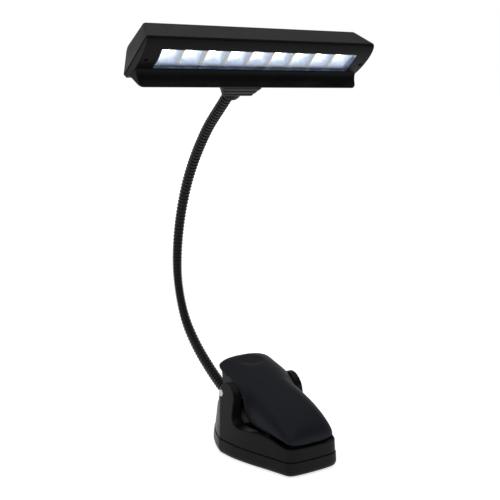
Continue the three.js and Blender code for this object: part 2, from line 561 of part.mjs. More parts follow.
const finPlan = [...flat([[-FIN.root, -2], [FIN.root, -2]]), ...finTip(1), ...finTip(-1).reverse()];
const fin = common(extrudeX(finSection, -FIN.root, FIN.root),
  extrudeZ(finPlan, 0, 60).applyMatrix4(ALONG_Y));
const windowCut = box([-WINDOW.halfLength, WINDOW.halfLength], [WINDOW.front, WINDOW.rear], [-12, 1]);
const coverHoles = [-1, 1].map((side) => turned(rod(1.5, -12, 1), 14)
  .translate(side * COVER_SCREW.x, COVER_SCREW.y, 0));
const coverInside = COVER.halfLength - COVER.wall;
const coverHollow = join(coverSolid(coverInside, COVER.wall),
  extrudeX(flat([[2.2, -0.9], [43.4, 2.8], [43.4, 5], [2.2, 1.4]]), -coverInside, coverInside));
piece('front_cover', cut(join(cut(coverSolid(COVER.halfLength, 0), coverHollow), fin), windowCut,
  ...coverHoles), FINISH.cover, head);

const lensBox = (inset, z0, z1) => box([inset - 85, 85 - inset],
  [WINDOW.front + GAP + inset, WINDOW.rear - GAP - inset], [z0, z1]);
piece('window_lens', join(
  common(cut(coverSolid(96, 0), coverSolid(96, 1.3)), lensBox(0, -12, -2)),
  cut(lensBox(0, -4.6, -1.6), lensBox(1.1, -6, 0)),
), FINISH.clear, head);

// The white moulding: nine square cups that narrow towards their LEDs.
const cupAt = (i) => (i - (LEDS.count - 1) / 2) * LEDS.pitch;
const square = (half, z) => [[-1, -1], [1, -1], [1, 1], [-1, 1]].map(([x, y]) => vec(x * half, y * half, z));
const cup = loft([square(8.1, -2), square(3.2, 8)]);
const ledIndices = Array.from({ length: LEDS.count }, (_, i) => i);
piece('reflector_strip', cut(box([-85.6, 85.6], [8.4, 28.8], [-1.2, 9.4]),
  ...ledIndices.map((i) => cup.clone().translate(cupAt(i), LEDS.row, 0)),
  ...ledIndices.map((i) => turned(rod(3.1, 7, 11), 12).translate(cupAt(i), LEDS.row, 0))),
FINISH.reflector, head);

ledIndices.forEach((i) => {
  const dome = new THREE.EllipseCurve(0, 5, 2.5, 2.6, -Math.PI / 2, 0).getPoints(4).map((p) => [p.x, p.y]);
  const led = [...dome, [2.5, 8.4], [2.8, 8.4], [2.8, 9.5], [0, 9.5]];
  piece(`led_${i + 1}`, turned(led, 12).translate(cupAt(i), LEDS.row, 0), FINISH.led, head);
});
piece('led_board', box([-84, 84], [10.4, 26.8], [9.8, 11.2]), FINISH.board, head);

[-1, 1].forEach((side) => {
  const screw = [[0, -4.3], [1.2, -4.3], [1.2, -3], [0.8, -2.8], [0.8, 7.4], [0, 8]];
  piece(side < 0 ? 'cover_screw_left' : 'cover_screw_right',
    turned(screw, 10).translate(side * COVER_SCREW.x, COVER_SCREW.y, 0), FINISH.steel, head);
});

// The ridged block and collar that hold the neck's upper end on the rear of the head.
function blockRing(y, draw = 0) {
  const along = (y - 42) / 18;
  const halfWidth = 21.5 - 8.3 * along - draw;
  const halfHeight = 10.4 - 0.8 * along - draw;
  const corner = 1.6;
  const quarter = [[halfWidth, halfHeight - corner], [halfWidth - corner, halfHeight]];
  const signs = [[1, 1], [-1, 1], [-1, -1], [1, -1]];
  return signs.flatMap(([sx, sz]) => (sx * sz > 0 ? quarter : quarter.toReversed())
    .map(([a, b]) => vec(sx * a, y, NECK_AXIS_DEPTH + sz * b)));
}
const blockRows = [[42.5, 0], [49, 0], [49.4, 0.5], [50.2, 0.5], [50.6, 0], [53, 0], [53.4, 0.5], [54.2, 0.5],
  [54.6, 0], [57, 0], [57.4, 0.5], [58.2, 0.5], [58.6, 0], [60, 0]];
const trayBack = extrudeX(flat([[30, -8], [RIM.rear + 0.4, -8], [RIM.rear + 0.4, RIM.rise], [42.6, 17.2],
  [30, 17.2]]), -30, 30);
piece('neck_block', cut(loft(blockRows.map(([y, draw]) => blockRing(y, draw))), trayBack,
  turnedY(rod(NECK_BORE, 49.4, 70), 20).translate(0, 0, NECK_AXIS_DEPTH),
  turnedY(rod(2, 38, 52), 16).translate(0, 0, NECK_AXIS_DEPTH)), FINISH.block, head);
const collar = [[5.05, 60.3], [8.2, 60.3], [8.2, 65.8], [7.6, 67.8], [6.6, 68.6], [5.05, 68.7], [5.05, 60.3]];
piece('neck_collar', turnedY(collar, 22).translate(0, 0, NECK_AXIS_DEPTH), FINISH.cover, head);

const leadLine = new THREE.CatmullRomCurve3([vec(0, 49, NECK_AXIS_DEPTH), vec(0, 44, NECK_AXIS_DEPTH + 0.6),
  vec(0, 38, NECK_AXIS_DEPTH + 3), vec(0, 33, NECK_AXIS_DEPTH + 8), vec(0, 26, 14.4), vec(0, 20, 14)]);
piece('head_lead', swept(leadLine, 1, 6, 10), FINISH.wire, head);

export default group;
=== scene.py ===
"""The looks of a clip-on reading lamp with nine LEDs: smooth shells, a ribbed neck and procedural materials
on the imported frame. Shapes are worked out in millimetres in the row frame and stored in metres."""

import json
import math

import bmesh
import bpy
import numpy as np
from mathutils import Matrix, Vector

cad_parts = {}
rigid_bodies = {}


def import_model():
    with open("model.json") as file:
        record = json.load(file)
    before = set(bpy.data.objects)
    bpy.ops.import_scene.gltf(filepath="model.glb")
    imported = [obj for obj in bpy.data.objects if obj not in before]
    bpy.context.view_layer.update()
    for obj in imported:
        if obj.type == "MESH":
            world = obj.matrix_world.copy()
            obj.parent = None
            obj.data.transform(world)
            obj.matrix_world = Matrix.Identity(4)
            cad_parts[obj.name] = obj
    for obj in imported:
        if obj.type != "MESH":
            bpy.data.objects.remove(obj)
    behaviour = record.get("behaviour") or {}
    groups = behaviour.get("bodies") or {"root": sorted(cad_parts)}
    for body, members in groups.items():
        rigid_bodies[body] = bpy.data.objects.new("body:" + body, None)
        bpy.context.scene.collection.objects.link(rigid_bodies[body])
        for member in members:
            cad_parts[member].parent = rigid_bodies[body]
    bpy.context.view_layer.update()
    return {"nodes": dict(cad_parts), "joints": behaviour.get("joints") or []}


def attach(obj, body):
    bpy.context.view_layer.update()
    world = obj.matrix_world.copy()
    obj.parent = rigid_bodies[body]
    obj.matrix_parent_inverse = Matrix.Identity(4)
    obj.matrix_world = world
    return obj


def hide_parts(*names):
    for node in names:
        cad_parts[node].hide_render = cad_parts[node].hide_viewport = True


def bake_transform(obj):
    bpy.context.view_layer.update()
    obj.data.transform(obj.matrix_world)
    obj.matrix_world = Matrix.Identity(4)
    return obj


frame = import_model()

MM = 0.001
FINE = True

# ---------------------------------------------------------------- sizes

# GAP is left between pieces, and the base's outline changes from LOW at the ground to HIGH at LEAN_Z.
GAP = 0.3
SEAM_Z = 11.4
LEAN_Z = 54.0
FLOOR_Z, FLOOR_TOP = 0.8, 2.9
DOOR = {"half": 23.4, "front": -55.0, "rear": 6.0}
BASE_SCREWS = ((-17, -67), (17, -67), (-24, 12), (24, 12))
REAR_HOLE = {"x": 13.0, "z": 18.4, "radius": 3.7}
SOCKET = {"radius": 7.0, "flange": 8.6}
PIN = {"y": -1.0, "z": 44.5, "radius": 2.0, "head": 2.85, "left": -32.8, "right": 28.6}
EAR = {"y": -8.0, "z": 42.4, "radius": 11.4, "inner": 25.4}
HEAD = {"y": -18.8, "z": 311.6, "tilt": 39.0, "half": 99.1, "wall": 1.8}
TRAY_RIM = (46.6, 4.1)
TRAY = {"top_half": 92.4, "front_top": (7.4, 18.7), "rear_top": (39.6, 24.8)}
TRAY_BEND = {"start": 0.7, "end": 0.2}
COVER_HALF, COVER_WALL = 98.6, 1.6
WINDOW = {"half": 85.3, "front": 8.75, "rear": 28.4}
LEDS = {"count": 9, "pitch": 18.96, "row": 18.6}
COVER_SCREW = {"x": 94.2, "y": 19.0}
NECK_RADIUS = 4.65
NECK_BORE = 4.95
NECK_DEPTH = 6.0


# ---------------------------------------------------------------- curves

def spline(points, samples):
    """Points along a uniform Catmull-Rom curve."""
    pts = np.array(points, float)
    last = len(pts) - 1
    out = []
    for k in range(samples + 1):
        t = k / samples * last
        i = min(int(t), last - 1)
        u = t - i
        p0, p1, p2, p3 = pts[max(i - 1, 0)], pts[i], pts[i + 1], pts[min(i + 2, last)]
        a, b = (p2 - p0) / 2, (p3 - p1) / 2
        out.append((2 * p1 - 2 * p2 + a + b) * u**3 + (3 * p2 - 3 * p1 - 2 * a - b) * u**2 + a * u + p1)
    return np.array(out)


def bezier(points, samples):
    """Points along a quadratic or cubic Bezier curve."""
    t = np.linspace(0, 1, samples + 1)[:, None]
    rows = np.array(points, float)[:, None, :]
    while len(rows) > 1:
        rows = rows[:-1] * (1 - t) + rows[1:] * t
    return rows[0]


def height_along(points):
    """The second value of a smooth curve as a function of the first."""
    curve = spline(points, 900)
    xs = np.maximum.accumulate(curve[:, 0])
    return lambda y: float(np.interp(y, xs, curve[:, 1]))


def smoothstep(x):
    x = min(max(x, 0.0), 1.0)
    return x * x * (3 - 2 * x)


# ---------------------------------------------------------------- meshes

def make(name, points, faces):
    """A smooth-shaded object from points in millimetres."""
    mesh = bpy.data.meshes.new(name)
    mesh.from_pydata([tuple(c * MM for c in p) for p in points], [], faces)
    bm = bmesh.new()
    bm.from_mesh(mesh)
    bmesh.ops.remove_doubles(bm, verts=bm.verts, dist=1e-7)
    bmesh.ops.recalc_face_normals(bm, faces=bm.faces)
    bm.to_mesh(mesh)
    bm.free()
    obj = bpy.data.objects.new(name, mesh)
    bpy.context.scene.collection.objects.link(obj)
    return shade(obj)


def shade(obj, angle=32):
    obj.data.shade_smooth()
    obj.data.set_sharp_from_angle(angle=math.radians(angle))
    return obj


def loft(name, rings):
    """A skin over rings of points, closed at each end."""
    count = len(rings[0])
    points = [tuple(p) for ring in rings for p in ring]
    faces = []
    for r in range(len(rings) - 1):
        for i in range(count):
            j = (i + 1) % count
            faces.append((r * count + i, r * count + j, (r + 1) * count + j, (r + 1) * count + i))
    faces.append(tuple(reversed(range(count))))
    faces.append(tuple((len(rings) - 1) * count + i for i in range(count)))
    return make(name, points, faces)


def extrude_x(name, outline, x0, x1):
    return loft(name, [[(x, y, z) for y, z in outline] for x in (x0, x1)])


def extrude_z(name, outline, z0, z1):
    return loft(name, [[(x, y, z) for x, y in outline] for z in (z0, z1)])


def block(name, xs, ys, zs):
    (x0, x1), (y0, y1), (z0, z1) = xs, ys, zs
    return extrude_z(name, [(x0, y0), (x1, y0), (x1, y1), (x0, y1)], z0, z1)


AXES = {
    "x": Matrix(((0, 0, 1), (1, 0, 0), (0, 1, 0))),
    "y": Matrix(((1, 0, 0), (0, 0, -1), (0, 1, 0))),
    "z": Matrix.Identity(3),
}


def turned(name, profile, axis="z", at=(0, 0, 0), steps=64):
    """(radius, height) points revolved about an axis. The profile starts and ends on the axis, or closes."""
    assert profile[0] == profile[-1] or profile[0][0] == profile[-1][0] == 0
    turn, place = AXES[axis], Vector(at)
    rings = []
    for k in range(steps):
        a = 2 * math.pi * k / steps
        rings.append([turn @ Vector((r * math.cos(a), r * math.sin(a), h)) + place for r, h in profile])
    count = len(profile)
    points = [tuple(p) for ring in rings for p in ring]
    faces = []
    for k in range(steps):
        n = (k + 1) % steps
        for i in range(count - 1):
            faces.append((k * count + i, n * count + i, n * count + i + 1, k * count + i + 1))
    return make(name, points, faces)


def rod(radius, h0, h1):
    return [(0, h0), (radius, h0), (radius, h1), (0, h1)]


def bake(obj):
    """Applies the object's modifiers and keeps the name of its mesh."""
    bpy.context.view_layer.update()
    depsgraph = bpy.context.evaluated_depsgraph_get()
    mesh = bpy.data.meshes.new_from_object(obj.evaluated_get(depsgraph), depsgraph=depsgraph)
    obj.modifiers.clear()
    old, obj.data = obj.data, mesh
    name = old.name
    bpy.data.meshes.remove(old)
    mesh.name = name
    return obj


def boolean(obj, operation, *tools):
    for tool in tools:
        modifier = obj.modifiers.new("boolean", "BOOLEAN")
        modifier.operation = operation
        modifier.solver = "EXACT"
        modifier.object = tool
        bake(obj)
        mesh = tool.data
        bpy.data.objects.remove(tool)
        bpy.data.meshes.remove(mesh)
    return obj


def cut(obj, *tools):
    return boolean(obj, "DIFFERENCE", *tools)


def join(obj, *tools):
    return boolean(obj, "UNION", *tools)


def common(obj, *tools):
    return boolean(obj, "INTERSECT", *tools)


def soften(obj, voxel, passes, coarse=0.8):
    """Rounds every edge as a mould does, by remeshing finely and smoothing."""
    remesh = obj.modifiers.new("remesh", "REMESH")
    remesh.mode = "VOXEL"
    remesh.voxel_size = (voxel if FINE else coarse) * MM
    remesh.use_smooth_shade = True
    smooth = obj.modifiers.new("smooth", "SMOOTH")
    smooth.factor = 0.5
    smooth.iterations = passes
    bake(obj)
    obj.data.shade_smooth()
    return obj


def bevel(obj, width, segments=3, angle=35):
    modifier = obj.modifiers.new("bevel", "BEVEL")
    modifier.width = width * MM
    modifier.segments = segments
    modifier.limit_method = "ANGLE"
    modifier.angle_limit = math.radians(angle)
    bake(obj)
    return shade(obj)


# ---------------------------------------------------------------- materials

def material(name):
    made = bpy.data.materials.new(name)
    made.use_nodes = True
    nodes, links = made.node_tree.nodes, made.node_tree.links
    nodes.clear()
    out = nodes.new("ShaderNodeOutputMaterial")
    shader = nodes.new("ShaderNodeBsdfPrincipled")
    links.new(shader.outputs[0], out.inputs[0])
    return made, nodes, links, shader


def noise(nodes, links, scale, detail=3.0, stretch=None):
    where = nodes.new("ShaderNodeTexCoord")
    texture = nodes.new("ShaderNodeTexNoise")
    texture.inputs["Scale"].default_value = scale
    texture.inputs["Detail"].default_value = detail
    if stretch:
        mapping = nodes.new("ShaderNodeMapping")
        mapping.inputs["Scale"].default_value = stretch
        links.new(where.outputs["Object"], mapping.inputs["Vector"])
        links.new(mapping.outputs[0], texture.inputs["Vector"])
    else:
        links.new(where.outputs["Object"], texture.inputs["Vector"])
    return texture


def map_range(nodes, links, value, span, low, high):
    """The value over a span mapped to low...high."""
    made = nodes.new("ShaderNodeMapRange")
    made.inputs["From Min"].default_value, made.inputs["From Max"].default_value = span
    made.inputs["To Min"].default_value, made.inputs["To Max"].default_value = low, high
    links.new(value, made.inputs["Value"])
    return made


def spread(nodes, links, source, low, high, span=(0.3, 0.7)):
    """The source's middle range mapped to low...high."""
    return map_range(nodes, links, source.outputs[0], span, low, high)


def two_tone(nodes, links, source, first, second, span=(0.35, 0.65)):
    ramp = nodes.new("ShaderNodeValToRGB")
    ramp.color_ramp.elements[0].position, ramp.color_ramp.elements[1].position = span
    ramp.color_ramp.elements[0].color = (*first, 1)
    ramp.color_ramp.elements[1].color = (*second, 1)
    links.new(source.outputs[0], ramp.inputs["Fac"])
    return ramp


def surface(name, colour, roughness, grain=0.0004, depth=0.000006, vary=0.12, patch=60.0, metallic=0.0,
            stretch=None, specular=0.5, wear=0.0, glow=0.0):
    """A moulded or metal surface: fine grain, a slow change in gloss and tone, and light scuffs. A glow,
    where given, is painted light: an emission in the surface's own colour.
    """
    made, nodes, links, shader = material(name)
    shader.inputs["Metallic"].default_value = metallic
    shader.inputs["Specular IOR Level"].default_value = specular
    shader.inputs["Emission Color"].default_value = (*colour, 1)
    shader.inputs["Emission Strength"].default_value = glow
    slow = noise(nodes, links, patch, 4.0, stretch)
    tone = two_tone(nodes, links, slow, [c * (1 - vary) for c in colour], [c * (1 + vary) for c in colour])
    links.new(tone.outputs[0], shader.inputs["Base Color"])
    gloss = spread(nodes, links, slow, roughness * 0.9, roughness * 1.1)
    if wear:
        scuffs = noise(nodes, links, patch * 6, 6.0, (1, 9, 1))
        scuffed = spread(nodes, links, scuffs, 0.0, wear, (0.55, 0.8))
        add = nodes.new("ShaderNodeMath")
        add.operation = "ADD"
        links.new(gloss.outputs[0], add.inputs[0])
        links.new(scuffed.outputs[0], add.inputs[1])
        links.new(add.outputs[0], shader.inputs["Roughness"])
    else:
        links.new(gloss.outputs[0], shader.inputs["Roughness"])
    fine = noise(nodes, links, 1 / grain, 2.0)
    bump = nodes.new("ShaderNodeBump")
    bump.inputs["Strength"].default_value = 1.0
    bump.inputs["Distance"].default_value = depth
    links.new(fine.outputs[0], bump.inputs["Height"])
    links.new(bump.outputs[0], shader.inputs["Normal"])
    return made


BODY = surface("body_plastic", (0.0044, 0.0044, 0.0045), 0.34, grain=0.0005, depth=0.00003, vary=0.1,
               specular=0.14)
HOUSING = surface("housing_plastic", (0.0105, 0.0103, 0.0100), 0.5, grain=0.0005, depth=0.00003, vary=0.1,
                  specular=0.34)
COVER = surface("cover_plastic", (0.0030, 0.0030, 0.0031), 0.4, grain=0.0006, depth=0.00002, vary=0.1,
                specular=0.11)
LEVER = surface("lever_plastic", (0.0092, 0.0102, 0.0160), 0.44, grain=0.0007, depth=0.000012, vary=0.06,
                patch=35, specular=0.16, wear=0.06)
NECK = surface("neck_coating", (0.0028, 0.0027, 0.0025), 0.17, grain=0.0003, depth=0.00001, vary=0.15,
               patch=220, specular=0.6)
BLOCK = surface("block_plastic", (0.014, 0.013, 0.0118), 0.5, grain=0.0005, depth=0.00003, vary=0.1,
                specular=0.24)
DARK_SCREW = surface("blackened_steel", (0.012, 0.012, 0.012), 0.45, grain=0.0004, depth=0.000006, vary=0.1,
                     specular=0.2)
RUBBER = surface("rubber", (0.006, 0.006, 0.006), 0.82, grain=0.0003, depth=0.00005, vary=0.2, specular=0.25)
STEEL = surface("steel", (0.62, 0.62, 0.63), 0.27, grain=0.0005, depth=0.000006, vary=0.08, patch=700,
                metallic=1.0)
BOARD = surface("circuit_board", (0.02, 0.11, 0.05), 0.4, grain=0.0008, depth=0.00002, vary=0.3, patch=400)
CELL = surface("cell_can", (0.04, 0.07, 0.13), 0.33, grain=0.001, depth=0.00001, vary=0.15, metallic=0.4)
WIRE = surface("wire_sleeve", (0.28, 0.015, 0.015), 0.5, grain=0.0004, depth=0.00002, vary=0.12)
# Painted light: the grey partitions between the LED cups glow in their own colour, standing for the LED light
# that reaches them; they are no lamp.
PARTITION_PAINTED_GLOW = surface("partition_grey_painted_glow", (0.42, 0.40, 0.37), 0.5, grain=0.0006, depth=0.00002, vary=0.06,
                    glow=0.42)


def reflector_material():
    made, nodes, links, shader = material("reflector_white")
    shader.inputs["Metallic"].default_value = 0.55
    grain = noise(nodes, links, 260, 4.0)
    tone = two_tone(nodes, links, grain, (0.72, 0.76, 0.86), (0.82, 0.85, 0.93))
    links.new(tone.outputs[0], shader.inputs["Base Color"])
    links.new(spread(nodes, links, grain, 0.3, 0.42).outputs[0], shader.inputs["Roughness"])
    bump = nodes.new("ShaderNodeBump")
    bump.inputs["Distance"].default_value = 0.00003
    links.new(grain.outputs[0], bump.inputs["Height"])
    links.new(bump.outputs[0], shader.inputs["Normal"])
    return made


def led_material():
    made, nodes, links, shader = material("led_lens")
    shader.inputs["Base Color"].default_value = (0.95, 0.97, 1.0, 1)
    glow = noise(nodes, links, 900, 2.0)
    tone = two_tone(nodes, links, glow, (0.80, 0.90, 1.0), (0.92, 0.97, 1.0))
    links.new(tone.outputs[0], shader.inputs["Emission Color"])
    shader.inputs["Emission Strength"].default_value = 10.0
    links.new(spread(nodes, links, glow, 0.12, 0.2).outputs[0], shader.inputs["Roughness"])
    return made


def window_material():
    """Clear acrylic as a thin sheet: mostly see-through, with a gloss at a slant on its outer faces."""
    made = bpy.data.materials.new("window_acrylic")
    made.use_nodes = True
    nodes, links = made.node_tree.nodes, made.node_tree.links
    nodes.clear()
    out = nodes.new("ShaderNodeOutputMaterial")
    clear = nodes.new("ShaderNodeBsdfTransparent")
    clear.inputs[0].default_value = (0.972, 0.984, 0.996, 1)
    gloss = nodes.new("ShaderNodeBsdfGlossy")
    gloss.inputs["Color"].default_value = (0.82, 0.88, 0.95, 1)
    haze = noise(nodes, links, 180, 4.0)
    links.new(spread(nodes, links, haze, 0.03, 0.09).outputs[0], gloss.inputs["Roughness"])
    fresnel = nodes.new("ShaderNodeFresnel")
    fresnel.inputs["IOR"].default_value = 1.45
    geometry = nodes.new("ShaderNodeNewGeometry")
    front_only = nodes.new("ShaderNodeMath")
    front_only.operation = "SUBTRACT"
    front_only.use_clamp = True
    links.new(fresnel.outputs[0], front_only.inputs[0])
    links.new(geometry.outputs["Backfacing"], front_only.inputs[1])
    sheen = nodes.new("ShaderNodeMixShader")
    links.new(front_only.outputs[0], sheen.inputs[0])
    links.new(clear.outputs[0], sheen.inputs[1])
    links.new(gloss.outputs[0], sheen.inputs[2])
    links.new(sheen.outputs[0], out.inputs[0])
    return made


def edge_material():
    """The window's thick edges: blue-grey acrylic that still lets some light through."""
    made, nodes, links, shader = material("window_edge")
    haze = noise(nodes, links, 120, 3.0)
    tone = two_tone(nodes, links, haze, (0.05, 0.075, 0.13), (0.16, 0.21, 0.30))
    links.new(tone.outputs[0], shader.inputs["Base Color"])
    links.new(spread(nodes, links, haze, 0.08, 0.16).outputs[0], shader.inputs["Roughness"])
    clear = nodes.new("ShaderNodeBsdfTransparent")
    clear.inputs[0].default_value = (0.62, 0.72, 0.86, 1)
    blended = nodes.new("ShaderNodeMixShader")
    blended.inputs[0].default_value = 0.42
    out = next(node for node in nodes if node.type == "OUTPUT_MATERIAL")
    links.new(shader.outputs[0], blended.inputs[1])
    links.new(clear.outputs[0], blended.inputs[2])
    links.new(blended.outputs[0], out.inputs[0])
    return made


REFLECTOR = reflector_material()
LED = led_material()
ACRYLIC = window_material()
ACRYLIC_EDGE = edge_material()


def paint(obj, look):
    obj.data.materials.clear()
    obj.data.materials.append(look)
    for polygon in obj.data.polygons:
        polygon.material_index = 0
    return obj


def fit(obj, look, body, slot, *nodes):
    """The piece rides on its body, stands for its CAD nodes and takes the given material; slot is not used.
    """
    paint(obj, look)
    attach(obj, body)
    if nodes:
        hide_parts(*nodes)
    return obj


# ---------------------------------------------------------------- the head's own frame

TILT = Matrix.Rotation(-math.radians(HEAD["tilt"]), 3, "X")


def from_head(x, y, z):
    return TILT @ Vector((x, y, z)) + Vector((0, HEAD["y"], HEAD["z"]))


def into_head(obj):
    """Moves a mesh built in the head's own frame to its place."""
    obj.data.transform(Matrix.Translation(Vector((0, HEAD["y"], HEAD["z"])) * MM) @ TILT.to_4x4())
    return obj


# ---------------------------------------------------------------- base shells

LOW = {
    "side": [(0, -81.2), (10, -80.9), (18, -79.9), (22.3, -77.3), (24.8, -71.5), (28.6, -60), (35, -42),
             (39.3, -26), (40.8, -11.8)],
    "rear": [(40.8, -11.8), (36.6, 6.5), (23, 38), (0, 38)],
}
HIGH = {
    "side": [(0, -77.8), (10, -77.5), (17, -76.6), (20.7, -74.2), (22.4, -69.5), (25.6, -59), (29.4, -42),
             (30.8, -22), (31.8, 1.3)],
    "rear": [(31.8, 1.3), (30.4, 6.6), (18, 27), (0, 27)],
}


def outline(shape):
    half = np.vstack([spline(shape["side"], 96), bezier(shape["rear"], 48)[1:]])
    mirrored = half[1:-1][::-1] * (-1, 1)
    return np.vstack([half, mirrored])


LOW_LINE, HIGH_LINE = outline(LOW), outline(HIGH)


def base_ring(z, inset=0.0):
    share = z / LEAN_Z
    points = LOW_LINE * (1 - share) + HIGH_LINE * share
    along = np.roll(points, -4, 0) - np.roll(points, 4, 0)
    along /= np.linalg.norm(along, axis=1)[:, None]
    moved = points + np.stack([-along[:, 1], along[:, 0]], 1) * inset
    return [(x, y, z) for x, y in moved]


def base_block(name, z0, z1, inset):
    """The solid inside the base's outline, drawn in by inset."""
    return loft(name, [base_ring(z, inset) for z in np.linspace(z0, z1, 5)])


def ear_arc(radius, start, end, steps):
    angles = np.radians(np.linspace(start, end, steps + 1))
    return [(EAR["y"] + radius * math.cos(a), EAR["z"] + radius * math.sin(a)) for a in angles]


RIM = [(-79.5, 21), (-72, 21.8), (-62, 24.6), (-52, 26.3), (-42, 26), (-32, 24.9), (-25.5, 25.6), (-21, 29),
       (-19.5, 35), (EAR["y"] - EAR["radius"], EAR["z"])]
BACK = [ear_arc(EAR["radius"], -15, -15, 0)[0], (5.6, 35.2), (9.5, 32.5), (15, 31.6), (27, 31), (33, 28.6),
        (40, 24)]


def on_socket_axis(obj, start, angle):
    obj.data.transform(Matrix.Translation(Vector(start) * MM) @ Matrix.Rotation(angle, 4, "X"))
    return obj


def base_upper(socket_start, socket_angle):
    """The upper shell: its ears, the lever's pocket, the hollow below and the pin, rear and neck holes."""
    body_profile = ([(-84, SEAM_Z + GAP), (-84, 21)] + [tuple(p) for p in spline(RIM, 90)]
                    + ear_arc(EAR["radius"], 180, -15, 60)[1:-1] + [tuple(p) for p in spline(BACK, 50)]
                    + [(40, SEAM_Z + GAP)])
    shell = base_block("base_body", SEAM_Z + GAP, LEAN_Z, 0.5)
    common(shell, extrude_x("tool", body_profile, -45, 45))
    pocket_profile = [(-84, 19.8), (-31, 19.8), (-25, 26), (9, 26), (9, 60), (-84, 60)]
    pocket = common(base_block("tool", 5, LEAN_Z + 1, 2.6),
                    extrude_x("tool2", pocket_profile, -EAR["inner"], EAR["inner"]))
    cavity_profile = [(-84, 2), (-84, 17.9), (-27, 17.9), (-22, 23.9), (40, 23.9), (40, 2)]
    cavity = common(base_block("tool3", 2, 30, 2.4), extrude_x("tool4", cavity_profile, -45, 45))
    pin_bore = turned("tool", rod(PIN["radius"] + GAP, -40, PIN["right"] + GAP), "x", (0, PIN["y"], PIN["z"]))
    cut(shell, pocket, cavity, pin_bore)
    cut(shell, turned("tool", rod(PIN["head"] + GAP, -12, 0), "x", (PIN["left"] + 1.2, PIN["y"], PIN["z"])))
    for side in (-1, 1):
        cut(shell, turned("tool", rod(REAR_HOLE["radius"], -45, -18), "y",
                          (side * REAR_HOLE["x"], 0, REAR_HOLE["z"])))
    for radius, start, end in ((SOCKET["radius"] + GAP, -0.5, 40), (SOCKET["flange"] + GAP, -6, 5.9)):
        tool = turned("tool", rod(radius, -end, -start), "y")
        cut(shell, on_socket_axis(tool, socket_start, socket_angle))
    return soften(shell, 0.3, 4)


def base_lower():
    """The lower shell: a rounded foot, the lip of the seam, the door's opening and four screw seats."""
    rings = []
    for k in range(9):
        a = math.radians(90 * k / 8)
        rings.append(base_ring(FLOOR_Z + 4.6 * (1 - math.cos(a)), 3.2 * (1 - math.sin(a))))
    rings += [base_ring(z, 0) for z in (7, 9, SEAM_Z - 0.5, SEAM_Z - 0.15)]
    rings += [base_ring(SEAM_Z - 0.04, 0.04), base_ring(SEAM_Z, 0.16), base_ring(SEAM_Z, 2.0)]
    rings += [base_ring(SEAM_Z - 0.2, 2.2), base_ring(FLOOR_TOP, 2.2)]
    shell = loft("base_floor", rings)
    cut(shell, block("tool", (-DOOR["half"], DOOR["half"]), (DOOR["front"], DOOR["rear"]), (0, 4)))
    for x, y in BASE_SCREWS:
        seat = [(0, 0), (3, 0), (3, FLOOR_Z), (1.6, FLOOR_Z + 1.5), (1.6, 4), (0, 4)]
        cut(shell, turned("tool", seat, "z", (x, y, 0), 32))
    return shade(shell, 28)


# ---------------------------------------------------------------- neck

def centripetal(points, samples):
    """Points along a centripetal Catmull-Rom curve, with the ends carried on straight."""
    pts = [np.array(p, float) for p in points]
    pts = [2 * pts[0] - pts[1], *pts, 2 * pts[-1] - pts[-2]]
    count = len(pts) - 3
    out = []
    for k in range(samples + 1):
        t = k / samples * count
        i = min(int(t), count - 1)
        u = t - i
        p0, p1, p2, p3 = pts[i:i + 4]
        d0, d1, d2 = (np.linalg.norm(b - a) ** 0.5 for a, b in ((p0, p1), (p1, p2), (p2, p3)))
        m1 = ((p1 - p0) / d0 - (p2 - p0) / (d0 + d1) + (p2 - p1) / d1) * d1
        m2 = ((p2 - p1) / d1 - (p3 - p1) / (d1 + d2) + (p3 - p2) / d2) * d1
        out.append(p1 + m1 * u + (3 * p2 - 3 * p1 - 2 * m1 - m2) * u**2 + (2 * p1 - 2 * p2 + m1 + m2) * u**3)
    return np.array(out)


BENDS = [(25, 21.4), (36, 24.5), (52.4, 30), (72.4, 39.8), (96.4, 55.4), (114.3, 73), (124.6, 93.2),
         (129.3, 114.4), (128.6, 136.3), (124.2, 158.6), (116.6, 180.8), (106, 202.5), (91.2, 224),
         (72.9, 244.6), (61.4, 254.6)]
neck_line = centripetal([(0, y, z) for y, z in BENDS]
                        + [tuple(from_head(0, y, NECK_DEPTH)) for y in (82, 74, 66, 58, 50)], 4000)
neck_steps = np.concatenate([[0], np.cumsum(np.linalg.norm(np.diff(neck_line, axis=0), axis=1))])
NECK_LENGTH = float(neck_steps[-1])


def neck_at(distance):
    """The point that far along the neck."""
    return np.array([np.interp(distance, neck_steps, neck_line[:, k]) for k in range(3)])


NECK_START = 0.6
NECK_SIDES = 40
RIB_PITCH, RIB_DEPTH = 3.31, 1.5
RIB_STEPS = 16
RIB_SHARE, SMALL_RIB = 0.56, 0.55


def rib_radius(distance):
    """A round rib with a lower, thinner one in the groove beside it."""
    phase = (distance / RIB_PITCH) % 1.0
    rib = abs(math.sin(math.pi * min(phase / RIB_SHARE, 1.0))) ** 0.8
    small = SMALL_RIB * abs(math.sin(math.pi * max((phase - RIB_SHARE) / (1 - RIB_SHARE), 0.0))) ** 0.8
    return NECK_RADIUS - RIB_DEPTH * (1 - max(rib, small))


def neck_piece(name, start, end):
    """The ribbed skin between two distances along the neck."""
    first, last = math.ceil(start / RIB_PITCH * RIB_STEPS), math.floor(end / RIB_PITCH * RIB_STEPS)
    stations = [start, *[k * RIB_PITCH / RIB_STEPS for k in range(first, last + 1)], end]
    stations = [s for i, s in enumerate(stations) if i == 0 or s - stations[i - 1] > 1e-4]
    rings = []
    for s in stations:
        centre = neck_at(s)
        along = neck_at(min(s + 0.4, NECK_LENGTH)) - neck_at(max(s - 0.4, 0))
        along /= np.linalg.norm(along)
        up = np.array([0, -along[2], along[1]])
        radius = rib_radius(s)
        ring = []
        for k in range(NECK_SIDES):
            a = 2 * math.pi * k / NECK_SIDES
            ring.append(tuple(centre + radius * (math.cos(a) * np.array([1.0, 0, 0]) + math.sin(a) * up)))
        rings.append(ring)
    return shade(loft(name, rings), 60)


